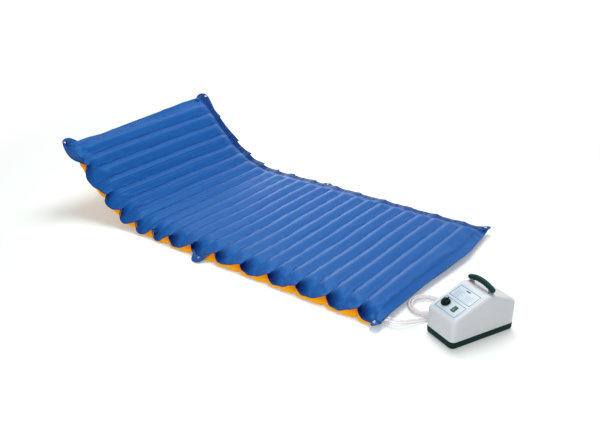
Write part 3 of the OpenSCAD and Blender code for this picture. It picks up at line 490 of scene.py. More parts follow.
def hose(name, i):
    """A tube with a bore: out along its skin, back along its bore, and round to the start."""
    line = smooth_line(hose_route(i), HOSE_STEP)
    rings = np.concatenate([tube_rings(line, HOSE_D / 2, HOSE_SIDES), tube_rings(line, BORE / 2, HOSE_SIDES)[::-1]])
    o = outward(mesh_piece(name, rings.reshape(-1, 3), ring_faces(len(rings), HOSE_SIDES), [clear_pvc]))
    place(o, "root", "clear_pvc", *["hose_%s_%s" % ("ab"[i], k) for k in ("run", "coil", "tail")])


hose("air_hose_a", 0)
hose("air_hose_b", 1)


# ---- mattress: one inflated skin in sections that meet on the ridges of the cells. Sizes are in mm on the
# flat mattress, where x rises towards the foot and k counts cells from the foot

CELLS, PITCH, FOOT_X = 25, 68.0, 850.0
SEAM, RIDGE, CREASE = 452.0, 60.0, 47.0
CUSP_Z, LOBE_Z = 41.0, 15.0
FOOT_FLANGE, FOOT_EDGE_Z, HEAD_FLANGE, HEAD_Z = 35.0, 30.0, 45.0, 40.0
FIRST_FOLD, FOLD_RUN, BEND = 17, 60.0, math.radians(8.5)
FOLD_X = [FOOT_X - PITCH * (FIRST_FOLD + n) for n in range(5)]
# the raised end lies a little skew, its far side higher
SKEW = 6
# cusps of the hem, in cells from the foot
CUSPS = [-1, 1, 3, 5, 7, 9, 11, 13, 15, 16.5, 18, 19.5, 21, 23.4, 27.4]
LOBE_LEAN = 1.45
rng = np.random.default_rng(7)


def folded(p, x):
    """Turns points about the fold lines of the raised end; x is where they are on the flat mattress."""
    q = p.copy()
    for xf in reversed(FOLD_X):
        a = BEND * smoothstep((xf + FOLD_RUN / 2 - x) / FOLD_RUN)
        dx, dz = q[..., 0] - xf, q[..., 2] - CREASE
        q[..., 0] = xf + dx * np.cos(a) + dz * np.sin(a)
        q[..., 2] = CREASE - dx * np.sin(a) + dz * np.cos(a)
    q[..., 2] += SKEW * ramp(-x, 240, 520) * q[..., 1] / SEAM
    return q


def waves(x, y, terms):
    """Seeded sum of sines, about -1 to 1."""
    out = np.zeros(np.broadcast(x, y).shape)
    for kx, ky, ph in terms:
        out = out + np.sin(kx * x + ky * y + ph)
    return out / len(terms) ** 0.5


def wave_terms(n, long, short, lean):
    """Wave numbers for waves between two lengths in mm; lean is how far they may turn from the length."""
    lam = rng.uniform(short, long, n)
    way = rng.uniform(-lean, lean, n)
    return [(2 * math.pi / l * math.cos(a), 2 * math.pi / l * math.sin(a), p)
            for l, a, p in zip(lam, way, rng.uniform(0, 6.28, n))]


WOBBLE = wave_terms(5, 900, 240, 1.5)
SWELL = wave_terms(6, 700, 160, 1.5)
GATHER = wave_terms(7, 30, 11, 0.3)
GATHER_AT = wave_terms(4, 160, 60, 1.5)
LIP_WAVE = wave_terms(5, 120, 34, 0.1)
FLANGE_RISE = wave_terms(5, 420, 120, 1.57)
FLANGE_EDGE = wave_terms(4, 500, 150, 1.57)
CRUMPLE = wave_terms(8, 120, 30, 1.57)
PLUMP = rng.uniform(-1, 1, 32)
# depth and lean of each lobe of the hem; the last runs out flat to the ear at the head's corner
LOBES = np.array([(rng.uniform(0.86, 1.1), rng.uniform(-0.08, 0.08)) for _ in CUSPS])
LOBES[-2] = (0.1, 0.0)


def pinched_folds():
    """Folds where a crease runs out at the side: deep at the hem's cusps, shallow between them."""
    out = []
    for k in range(CELLS + 1):
        cusp = min(CUSPS, key=lambda c: abs(c - k))
        deep = abs(cusp - k) < 0.6
        for side in (-1, 1):
            out.append(dict(k=cusp if deep else k, side=side,
                            depth=(3 if k > 24 else rng.uniform(19, 26)) if deep else rng.uniform(3, 8),
                            width=rng.uniform(4, 6) if deep else rng.uniform(3.5, 6),
                            lean=rng.uniform(-6, 10),
                            reach=rng.uniform(70, 115) if deep else rng.uniform(35, 70)))
    return out


FOLDS = pinched_folds()
# the folds of the far side, which start at its flat band, are shallower
FAR_FOLD = 0.4


def lobe_place(k):
    """Which lobe of the hem a place is in, and how far along it from 0 to 1."""
    k = np.clip(k, -0.99, 26.99)
    c = np.array(CUSPS, float)
    i = np.clip(np.searchsorted(c, k, side="right") - 1, 0, len(c) - 2)
    return i, (k - c[i]) / (c[i + 1] - c[i])


def seam_height(k):
    """Height of the hem's edge: a slow fall and a quick rise towards the head in each lobe."""
    i, t = lobe_place(k)
    low = LOBE_Z - 10 * ramp(k, 12, 8)
    fall = np.maximum(0, np.sin(math.pi * t ** (LOBE_LEAN + LOBES[i, 1]))) ** 0.75
    return CUSP_Z - (CUSP_Z - low) * LOBES[i, 0] * fall


def foot_top(foot):
    """Height of the foot flange, foot counted from 0 at the last cell to 1 at its edge."""
    return FOOT_EDGE_Z + 10 * (1 - foot) + 7 * np.exp(-7 * foot)


def hem_height(x):
    """Height of the near hem at x on the flat mattress, flanges and all."""
    seam = seam_height((FOOT_X - x) / PITCH)
    foot, head = np.maximum(0, x - FOOT_X) / FOOT_FLANGE, np.maximum(0, -FOOT_X - x) / HEAD_FLANGE
    seam = seam + (foot_top(foot) - 3 - seam) * smoothstep(foot * 1.3)
    corner = seam_height(np.array(float(CELLS)))
    return np.where(head > 0, corner + (HEAD_Z - corner) * head, seam)


def far_height(seam):
    """Height of the far side's hem, which lies higher, with shallow lobes."""
    return CUSP_Z + 2.0 - 0.22 * (CUSP_Z - seam)


def cusp_share(k):
    """1 at the cusps of the hem, 0 along its lobes."""
    return 1 - np.maximum(0, np.sin(math.pi * lobe_place(k)[1] ** LOBE_LEAN)) ** 0.6


def crown(k):
    """How far the cells stand over their creases; each cell leans towards the head."""
    f = (k - np.floor(k)) ** 1.5
    plump = PLUMP[np.clip(np.floor(k).astype(int), 0, len(PLUMP) - 1)]
    return (RIDGE - CREASE + 1.2 * plump) * (1 - np.abs(2 * f - 1) ** np.where(f > 0.5, 1.5, 2.1))


# distance in from the hem's edge of the lines along the top
INWARD = np.array([0, 1.6, 4, 7, 8.4, 10, 13, 17, 22, 28, 35, 43, 52, 62, 73, 86, 100, 116, 135, 158, 186, 220, 262,
                   310, 370, SEAM])
WELD_W, FAR_BAND, SHOULDER, FAR_SHOULDER = 7.0, 34.0, 108.0, 62.0
# what a line of the skin belongs to
TOP, HEM, BASE = 0, 1, 2
TOP_KIND = np.where(INWARD < WELD_W + 0.5, HEM, TOP)
# the side of the base sheet: how far out from the hem's edge, and at what share of its height
WALL = np.array([(-1.0, 0.96), (1.0, 0.78), (2.0, 0.55), (1.0, 0.33), (-2.5, 0.14), (-8, 0.03), (-22, 0.0)])
UNDER_Y = np.linspace(1, -1, 15)[1:-1] * (SEAM + WALL[-1, 0])
# the underside's height under the middle of a cell, how far it rises to the creases, and half the thickness
# of the head flange
FLOOR_GAP, BELLY, HEAD_HALF = 0.4, 7, 1.2


def skin_loop(x):
    """Points of the closed section at x on the flat mattress, and what each belongs to."""
    k = (FOOT_X - x) / PITCH
    foot, head = max(0.0, x - FOOT_X) / FOOT_FLANGE, max(0.0, -FOOT_X - x) / HEAD_FLANGE
    rise = float(crown(np.array([min(max(k, 1e-6), CELLS - 1e-6)]))[0])
    floor_z, f = CREASE, k - math.floor(k)
    belly = FLOOR_GAP + BELLY * max(0.0, (abs(2 * f - 1) - 0.45) / 0.55) ** 1.6
    seam = float(hem_height(np.array(x)))
    if foot > 0:
        rise, floor_z = 0.0, float(foot_top(foot))
        belly = max(FLOOR_GAP, (FOOT_EDGE_Z - 2.2) * max(0.0, (x - FOOT_X - 6) / (FOOT_FLANGE - 6)) ** 1.15)
    elif k < 0.5:
        belly = min(belly, FLOOR_GAP + BELLY * (0.5 - k))
    if head > 0:
        rise, floor_z = 0.0, HEAD_Z + HEAD_HALF + 6 * math.exp(-7 * head)
        belly = HEAD_Z - HEAD_HALF
    elif k > CELLS - 0.6:
        q = (k - (CELLS - 0.6)) / 0.6
        belly = belly * (1 - q) + (HEAD_Z - HEAD_HALF) * (1 - math.sqrt(max(0.0, 1 - q * q)))
    flange = max(min(1.0, foot * 3), min(1.0, head * 3))
    far_seam = far_height(seam)
    # the cells run out towards the side, over a shoulder, to a flat welded lip
    top = floor_z + rise * ramp(INWARD, 14, 62)

    def slope(edge, band, shoulder):
        over = np.maximum(0, INWARD - band)
        up = 1 - np.maximum(0, 1 - over / shoulder) ** 2.2
        z = edge + 0.12 * np.minimum(INWARD, WELD_W) + (top - edge - 0.9) * up
        return z + (floor_z - z) * flange * smoothstep(INWARD / 30)

    def wall(sign, edge):
        """The hem's underside and the side of the base sheet down to the floor, drawn in under the raised end."""
        low, tuck = min(belly, edge - 2.4), (9 * float(ramp(k, 13, 5)) + 8 * (sign > 0)) * (1 - flange)
        return [(sign * (SEAM - 0.4), edge - 1.4, HEM)] + [
            (sign * (SEAM + dy - tuck), low + (edge - 2.0 - low) * h, BASE) for dy, h in WALL]

    z_near, z_far = slope(seam, WELD_W, SHOULDER), slope(far_seam, FAR_BAND, FAR_SHOULDER)
    y_half = SEAM - INWARD
    loop = np.array([*wall(-1, seam)[::-1], *zip(-y_half, z_near, TOP_KIND),
                     *zip(y_half[-2::-1], z_far[-2::-1], TOP_KIND[-2::-1]), *wall(1, far_seam),
                     *[(y, min(belly, z_near[-1] - 2.0), BASE) for y in UNDER_Y]])
    return loop[:, :2], loop[:, 2].astype(int)


# where the section is drawn across a flange, and how often in each cell
FLANGE_SHARES, CELL_ROWS = (1.0, 0.97, 0.9, 0.78, 0.64, 0.5, 0.36, 0.24, 0.14, 0.06), 26
FLANGE_ROWS = len(FLANGE_SHARES)


def stations():
    """Where the section is drawn along the flat mattress, closer together at the creases."""
    xs = [FOOT_X + FOOT_FLANGE * s for s in FLANGE_SHARES]
    for c in range(CELLS):
        for s in np.linspace(-1, 1, CELL_ROWS, endpoint=False):
            xs.append(FOOT_X - PITCH * (c + 0.5 + 0.5 * math.sin(math.pi / 2 * s)))
    return np.array(xs + [-FOOT_X - HEAD_FLANGE * s for s in (0.0, *FLANGE_SHARES[::-1])])


# the cloth: frames, how much too large it is, how far it may move, what is held by the creases and the hem
CLOTH_FRAMES, CLOTH_SLACK, PUFF_CAP, HELD_CREASE, HELD_HEM = 20, 0.012, 2.2, 2.5, 12


def inflated(grid, kind, to_crease, inward):
    """Blows the top up as cloth that is a little too large for its welds, which stay where they are."""
    top = np.where(kind == TOP)[0]
    flat = grid[:, top]
    rows, cols = flat.shape[:2]
    o = mesh_piece("cloth_top", flat.reshape(-1, 3), strip_faces(rows, cols, closed=False), [], smooth=False)
    if o.data.polygons[0].normal.z < 0:
        o.data.flip_normals()
    held = (to_crease[:, top] < HELD_CREASE) | (inward[:, top] < HELD_HEM)
    held[:FLANGE_ROWS], held[-FLANGE_ROWS:] = True, True
    welds = o.vertex_groups.new(name="welds")
    welds.add([int(v) for v in np.where(held.ravel())[0]], 1.0, "REPLACE")
    cloth = o.modifiers.new("cloth", "CLOTH")
    c = cloth.settings
    c.quality, c.mass, c.bending_stiffness = 5, 0.3, 0.3
    c.tension_stiffness = c.compression_stiffness = 15
    c.use_pressure, c.uniform_pressure_force = True, 1.0
    c.shrink_min = c.shrink_max = -CLOTH_SLACK
    c.vertex_group_mass, c.pin_stiffness = "welds", 1.0
    c.effector_weights.gravity = 0.0
    cloth.collision_settings.use_collision = False
    cloth.point_cache.frame_start, cloth.point_cache.frame_end = 1, CLOTH_FRAMES
    scene = bpy.context.scene
    for n in range(1, CLOTH_FRAMES + 1):
        scene.frame_set(n)
    made = o.evaluated_get(bpy.context.evaluated_depsgraph_get()).data
    co = np.empty(len(made.vertices) * 3)
    made.vertices.foreach_get("co", co)
    move = co.reshape(rows, cols, 3) / MM - flat
    far = np.linalg.norm(move, axis=2, keepdims=True)
    grid[:, top] += move * np.minimum(1, PUFF_CAP / np.maximum(far, 1e-6))
    bpy.data.objects.remove(o)
    scene.frame_set(1)
    return grid


# how far the hem is drawn in at its cusps, how far the far hem's flaps stand out and how much more on the raised
# end, how slack the flanges' edges are, and how far and where the foot's edge bows out
DRAWN_NEAR, DRAWN_FAR, FLAP, FLAP_RAISED = 15.0, 2.0, 4, 10
HEAD_SLACK, FOOT_SLACK, BOW, BOW_Y = 3.6, 1.9, 26, 190


def mattress_grid():
    """Stations along the mattress, what each line belongs to, how dark each point is painted, mostly painted shade,
    and the points.
    """
    xs = stations()
    loops = [skin_loop(x) for x in xs]
    kind = loops[0][1]
    grid = np.zeros((len(xs), len(kind), 3))
    grid[:, :, 0] = xs[:, None]
    grid[:, :, 1:] = np.array([l[0] for l in loops])
    x, y, z = grid[..., 0].copy(), grid[..., 1].copy(), grid[..., 2].copy()
    k = (FOOT_X - x) / PITCH
    lobe = lobe_place(k)[1]
    inward = SEAM - np.abs(y)
    upper = (kind < BASE)[None, :] * 1.0
    inside = ramp(x, -FOOT_X, 60) * smoothstep((FOOT_X - x) / 60)
    off_flange = smoothstep((FOOT_X + FOOT_FLANGE - x) / 12) * ramp(x, -FOOT_X - HEAD_FLANGE, 12)
    # the creases run a little unevenly and the cells swell a little unevenly
    grid[..., 0] += 2.8 * waves(x, y, WOBBLE) * inside * (0.4 + 0.6 * upper)
    grid[..., 2] += 1.3 * waves(x, y, SWELL) * inside * upper * ramp(z, 20, 20)
    # gathers where the cells run out
    near_end = np.exp(-((inward - 26) / 26) ** 2) * upper
    grid[..., 2] += waves(x, y, GATHER) * near_end * off_flange * (0.6 + 0.5 * waves(x, y, GATHER_AT))
    painted_fold_shade = np.zeros_like(x)
    for p in FOLDS:
        away = np.maximum(inward, 0) / p["reach"]
        xc = FOOT_X - PITCH * p["k"] + p["lean"] * away ** 2 + 9 * (1 - np.minimum(away, 1))
        here = (np.sign(y) == p["side"]) * upper
        g = np.exp(-((x - xc) / (p["width"] * (1 + 0.5 * away))) ** 2) * np.maximum(0, 1 - away) ** 1.6
        deep, start = (p["depth"], 2) if p["side"] < 0 else (FAR_FOLD * p["depth"], FAR_BAND)
        grid[..., 2] -= deep * g * ramp(inward, start, 14) * here * off_flange
        # painted shade along each deep fold, a little to its foot side
        shade = np.exp(-((x - xc - 5) / (1.7 * p["width"])) ** 2) * np.maximum(0, 1 - 1.3 * away) ** 1.2
        painted_fold_shade = np.maximum(painted_fold_shade, shade * here * min(1.0, p["depth"] / 18))
    # the hem waves and is drawn in at its cusps
    edge = (1 - smoothstep(inward / 60)) * off_flange
    lip = waves(x, y * 0, LIP_WAVE)
    grid[..., 2] += 1.4 * lip * edge * ramp(z, 6, 10)
    drawn_in = np.where(y < 0, DRAWN_NEAR, DRAWN_FAR) * cusp_share(k) + 1.5 * lip
    grid[..., 1] -= np.sign(y) * edge * drawn_in * ramp(z, -6, 26)
    # on the far side the hem stands out in flaps, each wider towards the foot and ending there at once
    flap = (1 - lobe) ** 1.3 * (y > 0) * (1 - ramp(inward, 4, FAR_BAND)) * upper * off_flange
    grid[..., 1] += (FLAP + FLAP_RAISED * ramp(k, 11, 4)) * flap * smoothstep((24.3 - k) / 1.5)
    # the head flange is narrower towards the near side
    narrow = (HEAD_FLANGE - 25 + 20 * ramp(y, -80, 420)) / HEAD_FLANGE
    grid[..., 0] += np.maximum(0, -FOOT_X - x) * (1 - narrow)
    # the flanges' edges are slack
    slack = ramp(-x, FOOT_X, HEAD_FLANGE) * HEAD_SLACK + ramp(x, FOOT_X, FOOT_FLANGE) * FOOT_SLACK
    grid[..., 2] += slack * waves(x * 0, y, FLANGE_RISE) * ramp(z, 12, 10)
    grid[..., 0] += slack * 1.3 * waves(x * 0, y, FLANGE_EDGE)
    # the foot's edge bows out, most in its far half
    grid[..., 0] += BOW * ramp(x, FOOT_X - 40, FOOT_FLANGE + 40) * np.exp(-((y - BOW_Y) / BOW_Y) ** 2)
    # both flanges are crumpled, the foot's more
    loose = 1.9 * ramp(x, FOOT_X - 50, 40) + ramp(-x, FOOT_X - 20, 40)
    on_top = (kind == TOP)[None, :] * smoothstep(inward / 30) * off_flange
    grid[..., 2] += 1.1 * loose * waves(x, y, CRUMPLE) * on_top
    grid[..., 2] = np.maximum(grid[..., 2], FLOOR_GAP)
    to_crease = np.abs(k - np.round(k)) * PITCH
    grid = inflated(grid, kind, to_crease, inward)
    # painted shade: the creases between the cells are darker, more on the raised end, and so are the folds and the
    # far side's band; the welded lip is darker too, partly its own tone and partly painted shade
    line = (0.06 + 0.18 * ramp(k, 14, 4)) * np.exp(-(to_crease / 4.5) ** 2) * upper * (inward > 20)
    # the welded lip: partly its own darker tone, partly painted shade
    hem = np.where(kind == HEM, 0.55, 0.0)[None, :] * np.ones_like(x)
    # painted shade on the far side's band, where the hem stands up, deeper on the raised end
    painted_far_band_shade = (0.48 + 0.2 * ramp(k, 11, 4)) * (1 - ramp(inward, FAR_BAND, 12)) * upper * (y > 0)
    # painted shade on each lobe where it runs up to the cusp at its head end
    run_up = ramp(lobe, 0.4, 0.5) * (1 - 0.4 * ramp(k, 14, 4))
    rim = run_up * np.exp(-(inward / (14 + 42 * run_up)) ** 4) * upper * (y < 0) * off_flange
    # and painted shade on the base sheet under the cusps
    painted_shade_under_cusps = (kind == BASE)[None, :] * cusp_share(k) * ramp(z, 8, 22) * 0.8
    dark = np.maximum.reduce([line, hem, painted_far_band_shade, 0.85 * painted_fold_shade, 0.95 * rim, painted_shade_under_cusps])
    return xs, kind, dark, folded(grid, x)


def tint_welds(o, dark):
    """Writes how dark each point of the cloth is painted, for its material, and points the faces outwards. Most of it
    is painted shade; on the welded lip it is partly the lip's own darker tone.
    """
    weld = o.data.attributes.new("weld", "FLOAT", "POINT")
    weld.data.foreach_set("value", np.asarray(dark, np.float32).ravel())
    return outward(o, 0)


def mattress_section(name, first, last, grid, dark, kind):
    """A closed section of the skin between two stations. The blue sheet wraps under the foot flange."""
    part = grid[first:last + 1]
    rows, cols = part.shape[:2]
    under = (kind == BASE) | ((kind == HEM) & (np.roll(kind, -1) == BASE))
    slots = [int(under[j] and first + i >= FLANGE_ROWS) for i in range(rows - 1) for j in range(cols)]
    ends = [tuple(range(cols))[::-1], tuple((rows - 1) * cols + j for j in range(cols))]
    o = mesh_piece(name, part.reshape(-1, 3), strip_faces(rows, cols) + ends, [blue_nylon, orange_nylon],
                   slots + [0, 0])
    tint_welds(o, dark[first:last + 1])
    return o


# each section's name, the bodies at its foot end and at its head end, and the nodes it stands for
CHAIN = ["root", "bend_1", "bend_2", "bend_3", "bend_4"]
SECTIONS = [("mattress_flat", "root", "root", ["air_cells_a", "air_cells_b", "hem_flat", "base_sheet_flat"])]
for n, (a, b) in enumerate(zip(CHAIN, CHAIN[1:]), 1):
    SECTIONS.append(("mattress_fold_%d" % n, a, b, ["air_cell_%02d" % (9 - n), "hem_" + b, "base_sheet_" + b]))
SECTIONS += [("mattress_fold_5", "bend_4", "backrest", ["air_cell_04"]),
             ("mattress_head", "backrest", "backrest",
              ["air_cell_01", "air_cell_02", "air_cell_03", "hem_backrest", "base_sheet_backrest"])]
# half the width of a band round each fold line; mattress() works out the band's ends but does not use them, and the
# fold sections are bound to no body
BLEND_HALF = 32


def mattress():
    xs, kind, dark, grid = mattress_grid()
    ridges = [FOOT_X - PITCH * (FIRST_FOLD - 0.5 + n) for n in range(len(FOLD_X) + 1)]
    cuts = [0] + [int(np.argmin(np.abs(xs - r))) for r in ridges] + [len(xs) - 1]
    for n, (name, a, b, nodes) in enumerate(SECTIONS):
        o = mattress_section(name, cuts[n], cuts[n + 1], grid, dark, kind)
        if a == b:
            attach(o, a)
        else:
            at = FOLD_X[n - 1] + np.array([BLEND_HALF, -BLEND_HALF])
            ends = folded(np.column_stack([at, [0.0, 0.0], [CREASE, CREASE]]), at)
            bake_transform(o)
        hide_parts(*nodes)


mattress()


# ---- shapes that repeat, grown by Geometry Nodes

def growing_tree(name, **inputs):
    """An empty Geometry Nodes tree with inputs of named kinds and a finish, their sockets and identifiers."""
    t = bpy.data.node_groups.new(name, "GeometryNodeTree")
    ids = {}
    for label, kind in {**inputs, "Finish": "Material"}.items():
        ids[label] = t.interface.new_socket(label, in_out="INPUT", socket_type="NodeSocket" + kind).identifier
    t.interface.new_socket("Geometry", in_out="OUTPUT", socket_type="NodeSocketGeometry")
    return t, add(t, "NodeGroupInput").outputs, ids


def points_on_arc(t, put, radius):
    arc = add(t, "GeometryNodeCurveArc", {"mode": "RADIUS"},
              links={"Resolution": put["Count"], "Radius": radius, "Start Angle": put["From"],
                     "Sweep Angle": put["Sweep"]})
    return add(t, "GeometryNodeCurveToPoints", {"mode": "EVALUATED"}, links={"Curve": arc.outputs[0]}).outputs


def bar_shape(t, put):
    size = add(t, "ShaderNodeCombineXYZ", links={0: put["Length"], 1: put["Width"], 2: put["Height"]})
    return add(t, "GeometryNodeMeshCube", links={"Size": size.outputs[0]}).outputs[0]


def ring_shape(t, radius, wire, wire_sides):
    loop, round_wire = [add(t, "GeometryNodeCurvePrimitiveCircle", values={"Resolution": n}, links={"Radius": r})
                        for n, r in ((32, radius), (wire_sides, wire))]
    return add(t, "GeometryNodeCurveToMesh",
               links={"Curve": loop.outputs[0], "Profile Curve": round_wire.outputs[0]}).outputs[0]


def set_out(grower, points, shape, **how):
    """Ends a tree: the shape set out on the points, made real and in its finish."""
    t, put, _ = grower
    copies = add(t, "GeometryNodeInstanceOnPoints", links={"Points": points, "Instance": shape, **how})
    real = add(t, "GeometryNodeRealizeInstances", links={0: copies.outputs[0]})
    dressed = add(t, "GeometryNodeSetMaterial", links={"Geometry": real.outputs[0], "Material": put["Finish"]})
    add(t, "NodeGroupOutput", links={0: dressed.outputs[0]})
    return grower


def grown(name, grower, values, at=None):
    """Runs a tree with its inputs set, keeps the result as a plain mesh and puts it in place."""
    tree, _, ids = grower
    o = in_scene(name, bpy.data.meshes.new(name))
    grow = o.modifiers.new("grow", "NODES")
    grow.node_group = tree
    for label, v in values.items():
        grow[ids[label]] = v
    made = bpy.data.meshes.new_from_object(o.evaluated_get(bpy.context.evaluated_depsgraph_get()))
    o.modifiers.clear()
    o.data = made
    if at is not None:
        made.transform(at)
    return o


def marks_on_arc():
    """Short bars set radially round an arc, as the ticks of a dial."""
    t, put, _ = grower = growing_tree("marks_on_arc", Count="Int", Radius="Float", From="Float", Sweep="Float",
                                      Length="Float", Width="Float", Height="Float")
    points = points_on_arc(t, put, put["Radius"])
    outwards = add(t, "FunctionNodeAlignRotationToVector", {"axis": "X"},
                   links={"Vector": add(t, "GeometryNodeInputPosition").outputs[0]})
    return set_out(grower, points[0], bar_shape(t, put), Rotation=outwards.outputs[0])


def ribs_on_arc():
    """Round ribs that ring a bar bent to an arc, standing in the XY plane about the Y axis."""
    t, put, _ = grower = growing_tree("ribs_on_arc", Count="Int", Bend="Float", From="Float", Sweep="Float",
                                      Bar="Float", Rib="Float")
    points = points_on_arc(t, put, put["Bend"])
    upright = add(t, "FunctionNodeAlignRotationToVector", {"axis": "Z"}, links={"Vector": points["Tangent"]})
    return set_out(grower, points[0], ring_shape(t, put["Bar"], put["Rib"], 8), Rotation=upright.outputs[0])


def rings_in_row():
    """Rings in a row, all facing one way, as the rims of a row of eyelets or screws."""
    t, put, _ = grower = growing_tree("rings_in_row", Count="Int", First="Vector", Step="Vector", Facing="Vector",
                                      Ring="Float", Wire="Float")
    row = add(t, "GeometryNodeMeshLine", {"mode": "OFFSET"},
              links={"Count": put["Count"], "Start Location": put["First"], "Offset": put["Step"]})
    face = add(t, "FunctionNodeAlignRotationToVector", {"axis": "Z"}, links={"Vector": put["Facing"]})
    return set_out(grower, row.outputs[0], ring_shape(t, put["Ring"], put["Wire"], 10), Rotation=face.outputs[0])


def bars_in_column():
    """Thin bars one under the other, each of its own seeded length."""
    t, put, _ = grower = growing_tree("bars_in_column", Count="Int", Pitch="Float", Length="Float", Width="Float",
                                      Height="Float", Seed="Int")
    step = add(t, "ShaderNodeCombineXYZ", links={1: put["Pitch"]})
    row = add(t, "GeometryNodeMeshLine", {"mode": "OFFSET"}, links={"Count": put["Count"], "Offset": step.outputs[0]})
    part = add(t, "FunctionNodeRandomValue", {"data_type": "FLOAT"}, {2: 0.62, 3: 1.0}, {"Seed": put["Seed"]})
    stretch = add(t, "ShaderNodeCombineXYZ", values={1: 1.0, 2: 1.0}, links={0: part.outputs[1]})
    return set_out(grower, row.outputs[0], bar_shape(t, put), Scale=stretch.outputs[0])


# ---- eyelet tabs: ears at the head's corners, tabs at the middle of the sides and at the foot's corners

# outline of each tab on the flat mattress, its eyelet, the height there and the fall of its outer edge, mm;
# then how dark it is painted: painted shade, deeper on the far side and at the head
HEAD_EARS = [
    ([(-866, -384), (-872, -397), (-886, -411), (-896, -424), (-900, -440), (-898, -457), (-889, -469), (-872, -476),
      (-846, -480), (-820, -481), (-798, -478), (-781, -468), (-764, -452), (-750, -438), (-775, -428), (-815, -424),
      (-848, -404)], (-883, -460), 40.0, 3.0, 1.0),
    ([(-884, 374), (-890, 388), (-899, 404), (-907, 420), (-910, 436), (-908, 452), (-899, 466), (-884, 474),
      (-866, 474), (-846, 468), (-822, 462), (-798, 456), (-775, 448), (-755, 440), (-775, 430), (-815, 424),
      (-850, 406), (-870, 386)], (-886, 461), 40.0, 1.0, 1.0),
]
FLAT_TABS = [
    ([(-22, -440), (-12, -452), (-3, -466), (6, -479), (20, -486), (36, -487), (50, -481), (59, -470), (66, -457),
      (76, -444), (60, -430), (28, -426), (0, -430)], (32, -461), 13.0, 9.0, 0.4),
    ([(-16, 441), (0, 447), (10, 455), (20, 463), (34, 466), (48, 464), (60, 456), (72, 447), (88, 440), (70, 430),
      (34, 426), (2, 430)], (34, 457), 41.5, 1.0, 1.0),
    ([(838, -442), (846, -455), (856, -466), (868, -472), (880, -469), (887, -457), (887, -441), (870, -433),
      (852, -434)], (868, -457), 28.0, 4.0, 0.4),
    ([(800, 440), (828, 451), (850, 464), (868, 478), (881, 486), (889, 481), (891, 467), (889, 450), (885, 436),
      (860, 430), (825, 430)], (872, 462), 36.0, 1.0, 1.0),
]
EYELET_R, RIM_R, RIM_WIRE, TAB_T, TAB_POINTS = 5.0, 5.7, 1.3, 1.6, 84
# shares of the way from the eyelet to the edge, and how dark the cloth is painted there: painted shade, deeper at the
# eyelet and at the edge
TAB_ROWS = [(0.0, 0.8), (0.05, 0.8), (0.12, 0.7), (0.25, 0.55), (0.42, 0.45), (0.6, 0.4), (0.78, 0.5), (0.9, 0.7),
            (0.97, 0.85), (1.0, 0.85)]


def round_outline(points, count):
    """Closed spline through the points, in even steps."""
    p = np.array(points, float)
    ring = np.vstack([p[-2:], p, p[:3]])
    line = []
    for i in range(2, len(p) + 2):
        a, b, c, d = ring[i - 1:i + 3]
        for t in np.linspace(0, 1, 10, endpoint=False):
            curve = (2 * a - 5 * b + 4 * c - d) * t ** 2 + (3 * b - a - 3 * c + d) * t ** 3
            line.append(0.5 * (2 * b + (c - a) * t + curve))
    line = np.array(line + [line[0]])
    return points_at(line, np.linspace(0, along(line)[-1], count, endpoint=False))


def tab_height(xy, eye, height, fall):
    """Height of a tab's middle layer: level at its eyelet, falling outwards, slack at the head's flange.
    The tabs of the flat end start on the hem, except at the far corner of the foot."""
    x, y = xy.T
    out = np.maximum(0, np.abs(y) - abs(eye[1]))
    z = height - fall * (out / 25) ** 1.5 + 0.9 * np.sin(x / 11 + eye[1]) * np.minimum(1, out / 10)
    if eye[0] > 0 and (eye[0] < 500 or eye[1] < 0):
        hem = hem_height(x) if eye[1] < 0 else far_height(hem_height(x))
        z += (hem - 1.0 - z) * (1 - ramp(np.abs(y), 450, 20))
    return z + HEAD_SLACK * ramp(-x, FOOT_X, HEAD_FLANGE) * waves(x * 0, y, FLANGE_RISE)


def eyelet_sheets(name, body, tabs, *nodes):
    """Thin welded sheets, each with an eyelet's hole, that stand out from the hem."""
    verts, faces, dark = [], [], []
    for outline, eye, height, fall, tab_shade in tabs:
        edge = round_outline(outline, TAB_POINTS)
        way = edge - eye
        rim = np.array(eye) + EYELET_R * way / np.linalg.norm(way, axis=1)[:, None]
        faces += ring_faces(2 * len(TAB_ROWS), TAB_POINTS, len(verts))
        for side in (1, -1):
            for f, tone in TAB_ROWS[::side]:
                xy = rim + (edge - rim) * f
                z = tab_height(xy, eye, height, fall) + TAB_T * (0.5 if f < 0.97 else 0.3) * side
                verts += list(folded(np.column_stack([xy, np.maximum(z, 0.3)]), xy[:, 0]))
                # painted shade on the tab, by row and by tab
                dark += [tone * tab_shade] * TAB_POINTS
    o = tint_welds(mesh_piece(name, verts, faces, [blue_nylon]), dark)
    return place(o, body, "blue_nylon", *nodes)


def eyelet_rims(name, body, tabs, way):
    """Plated rims pressed into a pair of eyelets."""
    at = [Vector(folded(np.array([[*eye, height]], float), np.array([float(eye[0])]))[0]) * MM
          for _, eye, height, _, _ in tabs]
    rims = grown(name, RIMS, {"Count": 2, "First": at[0], "Step": at[1] - at[0], "Facing": way,
                              "Ring": RIM_R * MM, "Wire": RIM_WIRE * MM, "Finish": plated_steel})
    place(rims, body, "steel")


eyelet_sheets("eyelet_ears_head", "backrest", HEAD_EARS, "eyelet_tabs_head")
eyelet_sheets("eyelet_tabs_sides", "root", FLAT_TABS, "eyelet_tabs_flat")
RIMS = rings_in_row()
eyelet_rims("eyelet_rims_head", "backrest", HEAD_EARS, (0.67559, 0.0, 0.73728))
eyelet_rims("eyelet_rims_middle", "root", FLAT_TABS[:2], (0.0, 0.0, 1.0))
eyelet_rims("eyelet_rims_foot", "root", FLAT_TABS[2:], (0.0, 0.0, 1.0))


# ---- pump: casing, tray, handle, panel and controls; mm in the pump's own frame

